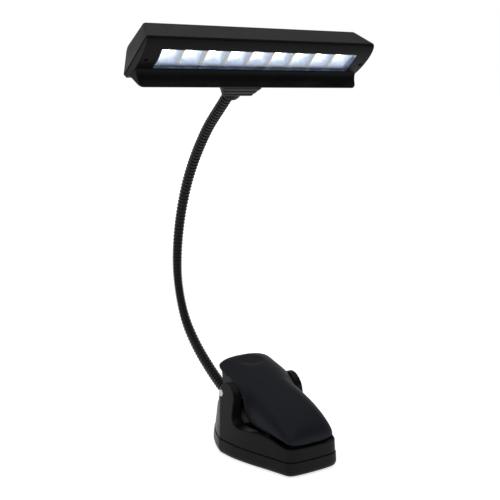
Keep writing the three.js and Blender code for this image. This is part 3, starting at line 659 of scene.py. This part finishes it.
def neck_hinges():
    """(distance along the neck, parent body, child body) of each hinge in the neck, from the base up."""
    found = []
    for joint in frame["joints"]:
        if joint["name"].startswith("neck_"):
            place = np.array(joint["pos_m"]) / MM
            nearest = int(np.argmin(np.linalg.norm(neck_line - place, axis=1)))
            found.append((float(neck_steps[nearest]), joint["parent"], joint["child"]))
    return sorted(found)


hinges = neck_hinges()
ends = [0.0, *[hinge[0] for hinge in hinges], NECK_LENGTH]
middles = [(a + b) / 2 for a, b in zip(ends, ends[1:])]
fit(neck_piece("neck_ribs_0", NECK_START, middles[0]), NECK, "base", "neck_metal", "neck_link_0")
for i, (parent, child) in enumerate(hinge[1:] for hinge in hinges):
    lower, upper = middles[i], middles[i + 1]
    ribs = paint(neck_piece(f"neck_ribs_{i + 1}", lower, upper), NECK)
    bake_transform(ribs)
    if i + 1 < len(hinges):
        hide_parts(f"neck_link_{i + 1}")
fit(neck_piece("neck_ribs_10", middles[-1], NECK_LENGTH), NECK, "head", "neck_metal", "neck_link_9")

# ---------------------------------------------------------------- base pieces

socket_start = neck_at(0)
socket_way = neck_at(14) - socket_start
socket_angle = math.atan2(socket_way[2], socket_way[1])
fit(base_upper(socket_start, socket_angle), BODY, "base", "body_plastic", "base_upper")
fit(base_lower(), BODY, "base", "body_plastic", "base_lower")

flange = SOCKET["flange"]
socket_profile = [(NECK_BORE, -14), (5.5, -14), (6.2, -13.4), (SOCKET["radius"], -11.4),
                  (SOCKET["radius"], -5.7), (flange - 0.2, -5.7), (flange, -5.5), (flange, -1.5),
                  (NECK_BORE, -1.5), (NECK_BORE, -14)]
socket = turned("socket_ring", socket_profile, "y")
fit(on_socket_axis(socket, socket_start, socket_angle), COVER, "base", "cover_plastic", "neck_socket")

left, right, shank, head = PIN["left"], PIN["right"], PIN["radius"], PIN["head"]
pin_profile = [(0, left + 0.35), (0.9, left + 0.3), (1.15, left + 0.05), (2.2, left), (2.6, left + 0.15),
               (head, left + 0.5), (head, left + 1), (shank, left + 1), (shank, right - 0.4),
               (shank - 0.4, right), (0, right)]
fit(turned("pin", pin_profile, "x", (0, PIN["y"], PIN["z"])), STEEL, "base", "steel", "hinge_pin")

plug_radius = REAR_HOLE["radius"] - GAP
button_profile = [(0, -34.2), (1.6, -34.15), (2.6, -33.9), (3.2, -33.3), (plug_radius, -32.6),
                  (plug_radius, -20.8), (4.8, -20.8), (4.8, -19.4), (0, -19.4)]
button = turned("button_cap", button_profile, "y", (REAR_HOLE["x"], 0, REAR_HOLE["z"]), 48)
fit(button, RUBBER, "button", "rubber", "power_button")
jack_profile = [(0, -27), (0.5, -26.9), (0.8, -26.4), (0.8, -20), (2.4, -20), (2.4, -27.8), (2.6, -28),
                (3.2, -28), (plug_radius, -27.8), (plug_radius, -18), (0, -18)]
jack = turned("jack", jack_profile, "y", (-REAR_HOLE["x"], 0, REAR_HOLE["z"]), 48)
fit(jack, COVER, "base", "cover_plastic", "power_jack")


def cross_screw(name, radius, face, under, shank, tip, at, depth=0.6):
    """A screw seen from below: a domed head with a cross recess, at face, and a plain shank up to tip."""
    profile = [(0, face), (radius * 0.6, face + 0.05), (radius, face + 0.35), (shank, under),
               (shank, tip - 0.6), (0, tip)]
    screw = turned(name, profile, "z", (0, 0, 0), 32)
    length, width = 0.62 * radius, 0.16 * radius
    for x, y in ((length, width), (width, length)):
        cut(screw, block("tool", (-x, x), (-y, y), (face - 1, face + depth)))
    screw.data.transform(Matrix.Translation(Vector(at) * MM))
    return shade(screw)


for i, (x, y) in enumerate(BASE_SCREWS):
    screw = cross_screw(f"floor_screw_{i + 1}", 2.4, 1.1, 2.5, 1.2, 13.6, (x, y, 0))
    fit(screw, STEEL, "base", "steel", f"base_screw_{i + 1}")


def battery_door():
    """The door with a finger groove and, behind it, four thinner lines that get shorter."""
    half, front, rear = DOOR["half"] - GAP, DOOR["front"] + GAP, DOOR["rear"] - GAP
    door = bevel(block("door", (-half, half), (front, rear), (FLOOR_Z, FLOOR_TOP)), 0.35)
    cut(door, block("tool", (-8, 8), (3.6, 4.2), (0.4, 1.1)))
    for k in range(4):
        y = 4.6 + 0.26 * k
        cut(door, block("tool", (k - 7, 7 - k), (y, y + 0.12), (0.4, 1.0)))
    return shade(door)


fit(battery_door(), BODY, "base", "body_plastic", "battery_door")


def pad(name, xs, ys, zs, groove, axis_step=3.2):
    """A rubber pad with soft edges and cross grooves on its working face."""
    piece = bevel(block(name, xs, ys, zs), min(0.25, (zs[1] - zs[0]) * 0.4))
    count = int((ys[1] - ys[0] - 2) / axis_step)
    start = (ys[0] + ys[1]) / 2 - (count - 1) * axis_step / 2
    for k in range(count):
        y = start + k * axis_step
        cut(piece, block("tool", (xs[0] + 1.5, xs[1] - 1.5), (y - 0.35, y + 0.35), groove))
    return shade(piece)


for name, node, half, ys in (
    ("foot_pad", "door_pad", 19, (-50, 3)),
    ("toe_pad", "front_foot", 11, (-74, -60)),
    ("heel_pad", "rear_foot", 14, (13, 30)),
):
    foot = pad(name, (-half, half), ys, (0, FLOOR_Z - GAP), (-0.1, 0.18))
    fit(foot, RUBBER, "base", "rubber", node)
low_pad = pad("jaw_pad_low", (-16, 16), (-74, -44), (20.1, 22.4), (21.8, 23), 5)
fit(low_pad, RUBBER, "base", "rubber", "lower_pad")

# ---------------------------------------------------------------- lever

LEVER_FRONT, LEVER_REAR = -77.2, 21.2
LEVER_EDGE = [(-77.2, 22.7), (-74.6, 24), (-70, 25.6), (-60, 26.5), (-46, 26.9), (-34, 27.8), (-28.6, 29.4),
              (-25.2, 32.4), (-22.6, 40), (-19.6, 45), (-15, 49), (-9, 52.4), (-2, 54.7), (5, 56.2),
              (11, 57.6), (15.6, 59.4), (19.4, 61.6), (21.2, 63.4)]
LEVER_TOP = [(-77.2, 23.6), (-76.4, 28.4), (-73, 34.8), (-66, 41.4), (-56, 47), (-44, 51.7), (-30, 55.9),
             (-15, 59.9), (0, 63.4), (8, 64.9), (14, 65.6), (19, 65.4), (21.2, 64.1)]
LEVER_HALF = [(-77.2, 3), (-76.8, 12), (-75.8, 17.6), (-73.4, 20.8), (-68, 22.2), (-58, 23.5), (-46, 24.7),
              (-30, 24.9), (-10, 24.9), (6, 24.8), (13, 24.5), (17.4, 22.6), (20, 16.6), (20.9, 10),
              (21.2, 3)]
LEVER_FOOT = [(-77.2, 22.7), (-60, 25.6), (-46, 26.2), (-34, 27.4), (-28.6, 28.8), (-22.6, 31), (-15, 34.6),
              (-2, 42.5), (11, 50.5), (17, 56), (21.2, 63.3)]
CROWN_POWER = 2.35
lever_edge, lever_top = height_along(LEVER_EDGE), height_along(LEVER_TOP)
lever_half, lever_foot = height_along(LEVER_HALF), height_along(LEVER_FOOT)
DIMPLE = {"y": 6.0, "across": 11.6, "along": 9.6, "depth": 2.1}


def dimple_drop(x, y):
    reach = (x / DIMPLE["across"]) ** 2 + ((y - DIMPLE["y"]) / DIMPLE["along"]) ** 2
    return DIMPLE["depth"] * max(0.0, 1 - reach) ** 1.02


def crown(half, foot, top, edge, steps):
    """(x, z) points over a superellipse that stands on foot and is cut off at edge, where it is half wide."""
    power = 2 / CROWN_POWER
    start = math.asin(min(max((edge - foot) / max(top - foot, 0.3), 0.0), 0.98) ** (1 / power))
    wide = half / math.cos(start) ** power
    points = []
    for k in range(steps + 1):
        a = start + (math.pi - 2 * start) * k / steps
        points.append((wide * math.copysign(abs(math.cos(a)) ** power, math.cos(a)),
                       foot + (top - foot) * math.sin(a) ** power))
    return points


def lever_ring(y, wall=2.0):
    """A closed section: over the crown outside, round the lip, and back under it inside."""
    half, edge, top = lever_half(y), lever_edge(y), lever_top(y)
    foot = min(lever_foot(y), edge)
    open_share = smoothstep((y - LEVER_FRONT - 2) / 2.4) * smoothstep((LEVER_REAR - 2 - y) / 2.4)
    inner_half = max(half - wall, half * 0.35)
    lip = (half - inner_half) / 2
    lip_z = min(lip, max(top - edge, 0.2) * 0.45)
    points = []

    def add(x, z):
        points.append((x, y, z - dimple_drop(x, y) * (1 if z > top - 9 else 0)))

    for x, z in crown(half, foot, top, edge + lip_z, 72):
        add(x, z)
    for k in range(1, 8):
        a = math.pi + math.pi * k / 8
        points.append((-half + lip + lip * math.cos(a), y, edge + lip_z + lip_z * math.sin(a)))
    for x, z in reversed(crown(inner_half, foot, max(top - wall, edge + lip_z + 0.05), edge + lip_z, 48)):
        add(x, edge + lip_z + (z - edge - lip_z) * open_share)
    for k in range(1, 8):
        a = math.pi + math.pi * k / 8
        points.append((half - lip + lip * math.cos(a), y, edge + lip_z + lip_z * math.sin(a)))
    return points


LEVER_STEPS = 170
lever_rings = []
for k in range(LEVER_STEPS + 1):
    share = (1 - math.cos(math.pi * k / LEVER_STEPS)) / 2
    lever_rings.append(lever_ring(LEVER_FRONT + (LEVER_REAR - LEVER_FRONT) * share))
fit(shade(loft("lever_shell", lever_rings), 50), LEVER, "lever", "lever_plastic", "lever_cover")

lever_frame = frame["nodes"]["lever_frame"]
edge_round = lever_frame.modifiers.new("edges", "BEVEL")
edge_round.width, edge_round.segments, edge_round.limit_method = 0.35 * MM, 2, "ANGLE"
edge_round.angle_limit = math.radians(40)
paint(lever_frame, BODY)

high_pad = pad("jaw_pad_high", (-15, 15), (-73, -46), (22.8, 25.1), (22, 23.4), 5)
fit(high_pad, RUBBER, "lever", "rubber", "upper_pad")
for i, (y, top) in enumerate(((-60, 40), (-36, 49))):
    screw = cross_screw(f"lever_bolt_{i + 1}", 2.2, 25.8, 27.2, 1.0, top - 1, (0, y, 0), 0.5)
    fit(screw, STEEL, "lever", "steel", f"lever_screw_{i + 1}")


SPRING = {"coil": 4.4, "turns": 4, "half": 5.0, "low_leg": 23.0, "high_leg": 13.0, "wire": 0.7}


def spring_line():
    """The torsion spring's centre line: a leg, the coils round the pin, and a leg."""
    coil, half = SPRING["coil"], SPRING["half"]
    start = math.radians(53)
    sweep = 2 * math.pi * (SPRING["turns"] + 1) - 2 * start
    points = []

    def leg(angle, length, x):
        c, s = math.cos(angle), math.sin(angle)
        return (x, PIN["y"] + coil * c - s * length, PIN["z"] + coil * s + c * length)

    points.append(leg(start, -SPRING["low_leg"], -half))
    for i in range(97):
        a = start + sweep * i / 96
        points.append((half * (2 * i / 96 - 1), PIN["y"] + coil * math.cos(a), PIN["z"] + coil * math.sin(a)))
    points.append(leg(start + sweep, SPRING["high_leg"], half))
    return points


def wire(name, points, radius, samples, sides=12):
    """A round wire along a smooth curve, without twist."""
    line = centripetal(points, samples)
    rings = []
    normal = None
    for k, centre in enumerate(line):
        along = line[min(k + 1, len(line) - 1)] - line[max(k - 1, 0)]
        along = along / np.linalg.norm(along)
        if normal is None:
            normal = np.cross(along, (0.3, 0.5, 0.8))
        normal = normal - along * (normal @ along)
        normal /= np.linalg.norm(normal)
        side = np.cross(along, normal)
        rings.append([tuple(centre + radius * (math.cos(a) * normal + math.sin(a) * side))
                      for a in np.linspace(0, 2 * math.pi, sides, endpoint=False)])
    return shade(loft(name, rings), 60)


torsion = paint(wire("torsion_spring", spring_line(), SPRING["wire"], 700), STEEL)
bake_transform(torsion)
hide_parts("clip_spring")

# ---------------------------------------------------------------- head


def rounded_ring(half, front, rear, height, inset=0.0, corner=1.6, steps=6):
    """A rectangle with round corners; height(y) gives its z."""
    x1, y0, y1 = half - inset, front + inset, rear - inset
    r = max(corner - inset * 0.5, 0.4)
    points = []
    centres = ((x1 - r, y0 + r, -90), (x1 - r, y1 - r, 0), (-x1 + r, y1 - r, 90), (-x1 + r, y0 + r, 180))
    for cx, cy, start in centres:
        for k in range(steps + 1):
            a = math.radians(start + 90 * k / steps)
            x, y = cx + r * math.cos(a), cy + r * math.sin(a)
            points.append((x, y, height(y)))
    return points


def mix(a, b, t):
    return tuple(np.array(a) * (1 - t) + np.array(b) * t)


def tray_ring(share, inset=0.0, drop=0.0, corner=1.6):
    """The tray's section from its rim (share 0) to its top (1). The rear wall bends over near the top."""
    half = HEAD["half"] + (TRAY["top_half"] - HEAD["half"]) * share
    front, z0 = mix((0, 0), TRAY["front_top"], share)
    if share < TRAY_BEND["start"]:
        rear, z1 = mix(TRAY_RIM, TRAY["rear_top"], share)
    else:
        start = mix(TRAY_RIM, TRAY["rear_top"], TRAY_BEND["start"])
        end = mix(TRAY["rear_top"], TRAY["front_top"], TRAY_BEND["end"])
        t = 0.7 * (share - TRAY_BEND["start"]) / (1 - TRAY_BEND["start"])
        rear, z1 = mix(mix(start, TRAY["rear_top"], t), mix(TRAY["rear_top"], end, t), t)
    slope = (z1 - z0) / (rear - front)
    return rounded_ring(half, front, rear, lambda y: z0 + slope * (y - front) - drop, inset, corner)


def head_housing():
    wall = HEAD["wall"]
    inner = [tray_ring(s, wall, wall * s) for s in np.linspace(1, 0.02, 16)]
    rim = [tray_ring(0, wall), tray_ring(0, wall - 0.35), tray_ring(0, 0.35), tray_ring(0.004, 0.1)]
    outer = [tray_ring(s) for s in np.linspace(0.02, 0.95, 24)]
    crown = []
    for k in range(7):
        a = math.radians(90 * k / 6)
        crown.append(tray_ring(0.955 + 0.045 * math.sin(a), 0.9 * (1 - math.cos(a)), 0, 1.9))
    for share in (0.25, 0.5, 0.75, 1.0):
        half = TRAY["top_half"] - 1 - 1.4 * share
        (y0, z0), (y1, z1) = mix((8.4, 18.9), (10, 19.2), share), mix((35.7, 23.7), (33, 23.6), share)
        crown.append(rounded_ring(half, y0, y1, lambda y: z0 + (z1 - z0) * (y - y0) / (y1 - y0), 0, 2))
    shell = shade(loft("housing_shell", inner + rim + outer + crown), 30)
    cut(shell, turned("tool", rod(NECK_RADIUS - 1.2, -50, -35), "y", (0, 0, NECK_DEPTH + 2), 32))
    return into_head(shade(shell, 30))


def cover_line(t, steps):
    """The cover's curved front, drawn in by t."""
    return bezier([(0.4 + t, -GAP), (1 + t, 1.3 * t - 6.6), (28, 1.3 * t - 7), (44.6 - t, t + 0.6)], steps)


def cover_profile(t=0.0):
    return [tuple(p) for p in cover_line(t, 48)] + [(45.5 - t, TRAY_RIM[1] - 0.4)]


def front_cover():
    inside = COVER_HALF - COVER_WALL
    shell = extrude_x("cover_shell", cover_profile(), -COVER_HALF, COVER_HALF)
    cut(shell, extrude_x("tool", cover_profile(COVER_WALL), -inside, inside),
        extrude_x("tool2", [(2.2, -0.9), (43.4, 2.8), (43.4, 5), (2.2, 1.4)], -inside, inside))
    fin_section = ([(40.5, -1)] + [tuple(p) for p in bezier([(29.6, -3.5), (34.2, -6.4), (34.9, -14.1)], 20)]
                   + [(35.15, -14.5), (35.5, -14.75), (36.0, -14.8), (36.4, -14.6), (36.7, -14.1)])
    tip = [tuple(p) for p in bezier([(96, 11), (95.4, 14.9), (91, 14.9)], 10)]
    plan = [(-98.4, -2), (98.4, -2), *tip, *[(-x, d) for x, d in reversed(tip)]]
    fin = extrude_x("fin", fin_section, -98.4, 98.4)
    common(fin, loft("tool", [[(x, y, -d) for x, d in plan] for y in (0, 60)]))
    join(shell, fin)
    cut(shell, block("tool", (-WINDOW["half"], WINDOW["half"]), (WINDOW["front"], WINDOW["rear"]), (-12, 1)))
    for side in (-1, 1):
        cut(shell, turned("tool", rod(1.5, -12, 1), "z", (side * COVER_SCREW["x"], COVER_SCREW["y"], 0), 32))
    return into_head(soften(shell, 0.3, 3, 0.6))


def window_lens():
    y0, y1 = WINDOW["front"] + GAP, WINDOW["rear"] - GAP

    def sheet(drop, front, rear):
        line = [tuple(p) for p in cover_line(drop, 300) if front < p[0] < rear][::6]
        return [(front, -1.7), (front, line[0][1])] + line + [(rear, line[-1][1]), (rear, -1.7)]

    lens = extrude_x("window_pane", sheet(0, y0, y1), -85, 85)
    cut(lens, extrude_x("tool", [(y0 + 0.9, -1), *sheet(1.2, y0 + 0.9, y1 - 1.1), (y1 - 1.1, -1)], -84, 82.6))
    return into_head(shade(lens, 20))


def led_x(i):
    return (i - (LEDS["count"] - 1) / 2) * LEDS["pitch"]


def reflector_strip():
    """A block with nine square cups that narrow to a round hole for the LED."""
    strip = block("reflector_tray", (-85.6, 85.6), (8.4, 28.8), (-1.2, 9.4))
    for i in range(LEDS["count"]):
        x = led_x(i)
        rings = []
        for share in np.linspace(0, 1, 7):
            half, z = 8.1 - 4.9 * share, -2 + 10 * share
            rings.append([(x + sx * half, LEDS["row"] + sy * half, z)
                          for sx, sy in ((-1, -1), (1, -1), (1, 1), (-1, 1))])
        cut(strip, loft("tool", rings), turned("tool2", rod(3.1, 7, 11), "z", (x, LEDS["row"], 0), 32))
    return into_head(bevel(strip, 0.25, 2))


fit(head_housing(), HOUSING, "head", "body_plastic", "head_housing")
fit(front_cover(), COVER, "head", "cover_plastic", "front_cover")
window = fit(window_lens(), ACRYLIC, "head", "clear_window", "window_lens")
strip = fit(reflector_strip(), REFLECTOR, "head", "reflector", "reflector_strip")


def second_look(obj, look, wanted):
    """Gives another material to the faces whose centre, in the head's own frame, is wanted."""
    obj.data.materials.append(look)
    for polygon in obj.data.polygons:
        centre = TILT.transposed() @ (Vector(polygon.center) / MM - Vector((0, HEAD["y"], HEAD["z"])))
        normal = TILT.transposed() @ Vector(polygon.normal)
        if wanted(centre, normal):
            polygon.material_index = 1


# The strip's faces between the cups that face the window take the partitions' painted glow.
second_look(strip, PARTITION_PAINTED_GLOW, lambda centre, normal: centre.z < -0.9 and normal.z < -0.7)
second_look(window, ACRYLIC_EDGE,
            lambda centre, normal: centre.y > WINDOW["rear"] - GAP - 1.6 or abs(centre.x) > 82.4)

for i in range(LEDS["count"]):
    dome = [(2.5 * math.sin(a), 5 - 2.6 * math.cos(a)) for a in np.linspace(0, math.pi / 2, 12)]
    dome[0] = (0, dome[0][1])
    led_profile = [*dome, (2.5, 8.4), (2.8, 8.4), (2.8, 9.5), (0, 9.5)]
    led = turned(f"diode_{i + 1}", led_profile, "z", (led_x(i), LEDS["row"], 0), 40)
    fit(into_head(led), LED, "head", "led", f"led_{i + 1}")

for side, node in ((-1, "cover_screw_left"), (1, "cover_screw_right")):
    place = (side * COVER_SCREW["x"], COVER_SCREW["y"], 0)
    screw = cross_screw(f"{node}_head", 1.2, -4.3, -2.8, 0.8, 8, place, 0.5)
    fit(into_head(screw), DARK_SCREW, "head", "steel", node)


def block_ring(y, draw):
    """The neck block's section, which narrows away from the head, drawn in by draw."""
    along = (y - 42) / 18
    half_width, half_height = 21.5 - 8.3 * along - draw, 10.4 - 0.8 * along - draw
    r = 1.3
    points = []
    for sx, sz, start in ((1, -1, -90), (1, 1, 0), (-1, 1, 90), (-1, -1, 180)):
        for k in range(6):
            a = math.radians(start + 90 * k / 5)
            x, z = sx * (half_width - r) + r * math.cos(a), sz * (half_height - r) + r * math.sin(a)
            points.append((x, y, NECK_DEPTH + z))
    return points


def neck_block():
    """The block on the tray's rear wall, with three grooves round it and a bore for the neck."""
    rows = [(42.5, 0), (46.4, 0)]
    for centre in (49.8, 53.8, 57.8):
        rows += [(centre - 0.75, 0), (centre - 0.55, 0.1), (centre - 0.4, 0.45), (centre + 0.4, 0.45),
                 (centre + 0.55, 0.1), (centre + 0.75, 0)]
    rows += [(59.5, 0), (59.8, 0.08), (60, 0.35)]
    shell = loft("block_shell", [block_ring(y, draw) for y, draw in rows])
    back = [(30, -8), (TRAY_RIM[0] + 0.4, -8), (TRAY_RIM[0] + 0.4, TRAY_RIM[1]), (42.6, 17.2), (30, 17.2)]
    bore = turned("tool2", rod(NECK_BORE, -70, -49.4), "y", (0, 0, NECK_DEPTH), 48)
    cut(shell, extrude_x("tool", back, -30, 30), bore)
    return into_head(shade(shell, 35))


fit(neck_block(), BLOCK, "head", "block_plastic", "neck_block")
collar_profile = [(5.05, -60.3), (8, -60.3), (8.2, -60.5), (8.2, -65.6), (8, -66.4), (7.6, -67.7),
                  (7.1, -68.3), (6.4, -68.6), (5.05, -68.7), (5.05, -60.3)]
collar = into_head(turned("neck_ring", collar_profile, "y", (0, 0, NECK_DEPTH), 48))
fit(collar, COVER, "head", "cover_plastic", "neck_collar")

# ---------------------------------------------------------------- pieces inside, kept as CAD nodes

for names, look in (
    (("led_board", "control_board"), BOARD),
    (("battery_1", "battery_2", "battery_3"), CELL),
    (("battery_spring_1", "battery_spring_2", "battery_spring_3", "contact_front", "contact_rear"), STEEL),
    (("head_lead",), WIRE),
):
    for name in names:
        paint(frame["nodes"][name], look)

# ---------------------------------------------------------------- floor, light and camera

FLOOR_REACH = 40
CAMERA = {"at": (-0.3725, -0.5765, 0.2733), "turn": 32.52, "down": 9.88, "lens": 64.8, "sensor": 36}
FLOOR_GLOW, GLOW_IN_VIEW = 0.45, 0.3
FRONT_LIGHT, BACK_LIGHT, TOP_LIGHT = 0.12, 0.85, 0.16
BACKDROP_TOP, ABOVE_BACKDROP = 0.45, 0.22


def paper_material():
    """White paper that glows, and glows more where the camera sees it."""
    made, nodes, links, shader = material("floor_paper")
    grain = noise(nodes, links, 900, 3.0)
    tone = two_tone(nodes, links, grain, (0.89, 0.89, 0.89), (0.91, 0.91, 0.91))
    links.new(tone.outputs[0], shader.inputs["Base Color"])
    shader.inputs["Roughness"].default_value = 0.95
    shader.inputs["Specular IOR Level"].default_value = 0.1
    shader.inputs["Emission Color"].default_value = (1, 1, 1, 1)
    path = nodes.new("ShaderNodeLightPath")
    glow = nodes.new("ShaderNodeMath")
    glow.operation = "MULTIPLY_ADD"
    glow.inputs[1].default_value = GLOW_IN_VIEW
    glow.inputs[2].default_value = FLOOR_GLOW
    links.new(path.outputs["Is Camera Ray"], glow.inputs[0])
    links.new(glow.outputs[0], shader.inputs["Emission Strength"])
    return made


def studio_floor():
    mesh = bpy.data.meshes.new("studio_floor")
    corners = [(x * FLOOR_REACH, y * FLOOR_REACH, 0) for x, y in ((-1, -1), (1, -1), (1, 1), (-1, 1))]
    mesh.from_pydata(corners, [], [(0, 1, 2, 3)])
    floor = bpy.data.objects.new("studio_floor", mesh)
    bpy.context.scene.collection.objects.link(floor)
    mesh.materials.append(paper_material())


def studio_world():
    """Light from all round, brightest low behind the object. The camera itself sees plain white."""
    world = bpy.data.worlds.new("studio")
    bpy.context.scene.world = world
    world.use_nodes = True
    nodes, links = world.node_tree.nodes, world.node_tree.links
    nodes.clear()
    where = nodes.new("ShaderNodeTexCoord")
    turn = math.radians(CAMERA["turn"])
    facing = nodes.new("ShaderNodeVectorMath")
    facing.operation = "DOT_PRODUCT"
    facing.inputs[1].default_value = (math.sin(turn), math.cos(turn), 0.0)
    links.new(where.outputs["Generated"], facing.inputs[0])
    height = nodes.new("ShaderNodeSeparateXYZ")
    links.new(where.outputs["Generated"], height.inputs[0])
    sweep = map_range(nodes, links, facing.outputs["Value"], (-0.5, 0.9), FRONT_LIGHT, BACK_LIGHT)
    backdrop = map_range(nodes, links, height.outputs["Z"], (0.02, BACKDROP_TOP), 1.0, ABOVE_BACKDROP)
    overhead = map_range(nodes, links, height.outputs["Z"], (0.2, 1.0), 0.0, TOP_LIGHT)
    sweep.interpolation_type = backdrop.interpolation_type = "SMOOTHSTEP"
    strength = nodes.new("ShaderNodeMath")
    strength.operation = "MULTIPLY_ADD"
    for i, part in enumerate((sweep, backdrop, overhead)):
        links.new(part.outputs[0], strength.inputs[i])
    soft = nodes.new("ShaderNodeBackground")
    links.new(strength.outputs[0], soft.inputs["Strength"])
    plain = nodes.new("ShaderNodeBackground")
    plain.inputs["Color"].default_value = (1, 1, 1, 1)
    path = nodes.new("ShaderNodeLightPath")
    chosen = nodes.new("ShaderNodeMixShader")
    links.new(path.outputs["Is Camera Ray"], chosen.inputs[0])
    links.new(soft.outputs[0], chosen.inputs[1])
    links.new(plain.outputs[0], chosen.inputs[2])
    out = nodes.new("ShaderNodeOutputWorld")
    links.new(chosen.outputs[0], out.inputs[0])


def lamp(name, kind, at, towards):
    data = bpy.data.lights.new(name, kind)
    data.energy = 1.0
    made = bpy.data.objects.new(name, data)
    bpy.context.scene.collection.objects.link(made)
    made.location = at
    made.rotation_euler = (Vector(towards) - Vector(at)).to_track_quat("-Z", "Y").to_euler()
    return data


def panel(name, at, towards, width, height):
    data = lamp(name, "AREA", at, towards)
    data.shape, data.size, data.size_y = "RECTANGLE", width, height


def studio_camera():
    data = bpy.data.cameras.new("camera")
    data.lens, data.sensor_width = CAMERA["lens"], CAMERA["sensor"]
    camera = bpy.data.objects.new("camera", data)
    bpy.context.scene.collection.objects.link(camera)
    camera.location = CAMERA["at"]
    camera.rotation_euler = (math.radians(90 - CAMERA["down"]), 0, math.radians(-CAMERA["turn"]))
    bpy.context.scene.camera = camera


studio_floor()
studio_world()
lamp("wide_sky", "SUN", (-0.2, -0.3, 2.0), (0, 0, 0)).angle = math.radians(100)
panel("front_left", (-1.33, -0.68, 0.55), (0, 0, 0.2), 0.35, 1.1)
panel("front_right", (-0.08, -1.5, 0.55), (0, 0, 0.2), 0.35, 1.1)
panel("key", (-0.9, 0.7, 1.2), (0, 0, 0.1), 0.9, 0.9)
studio_camera()
bpy.context.scene.view_settings.view_transform = "Standard"
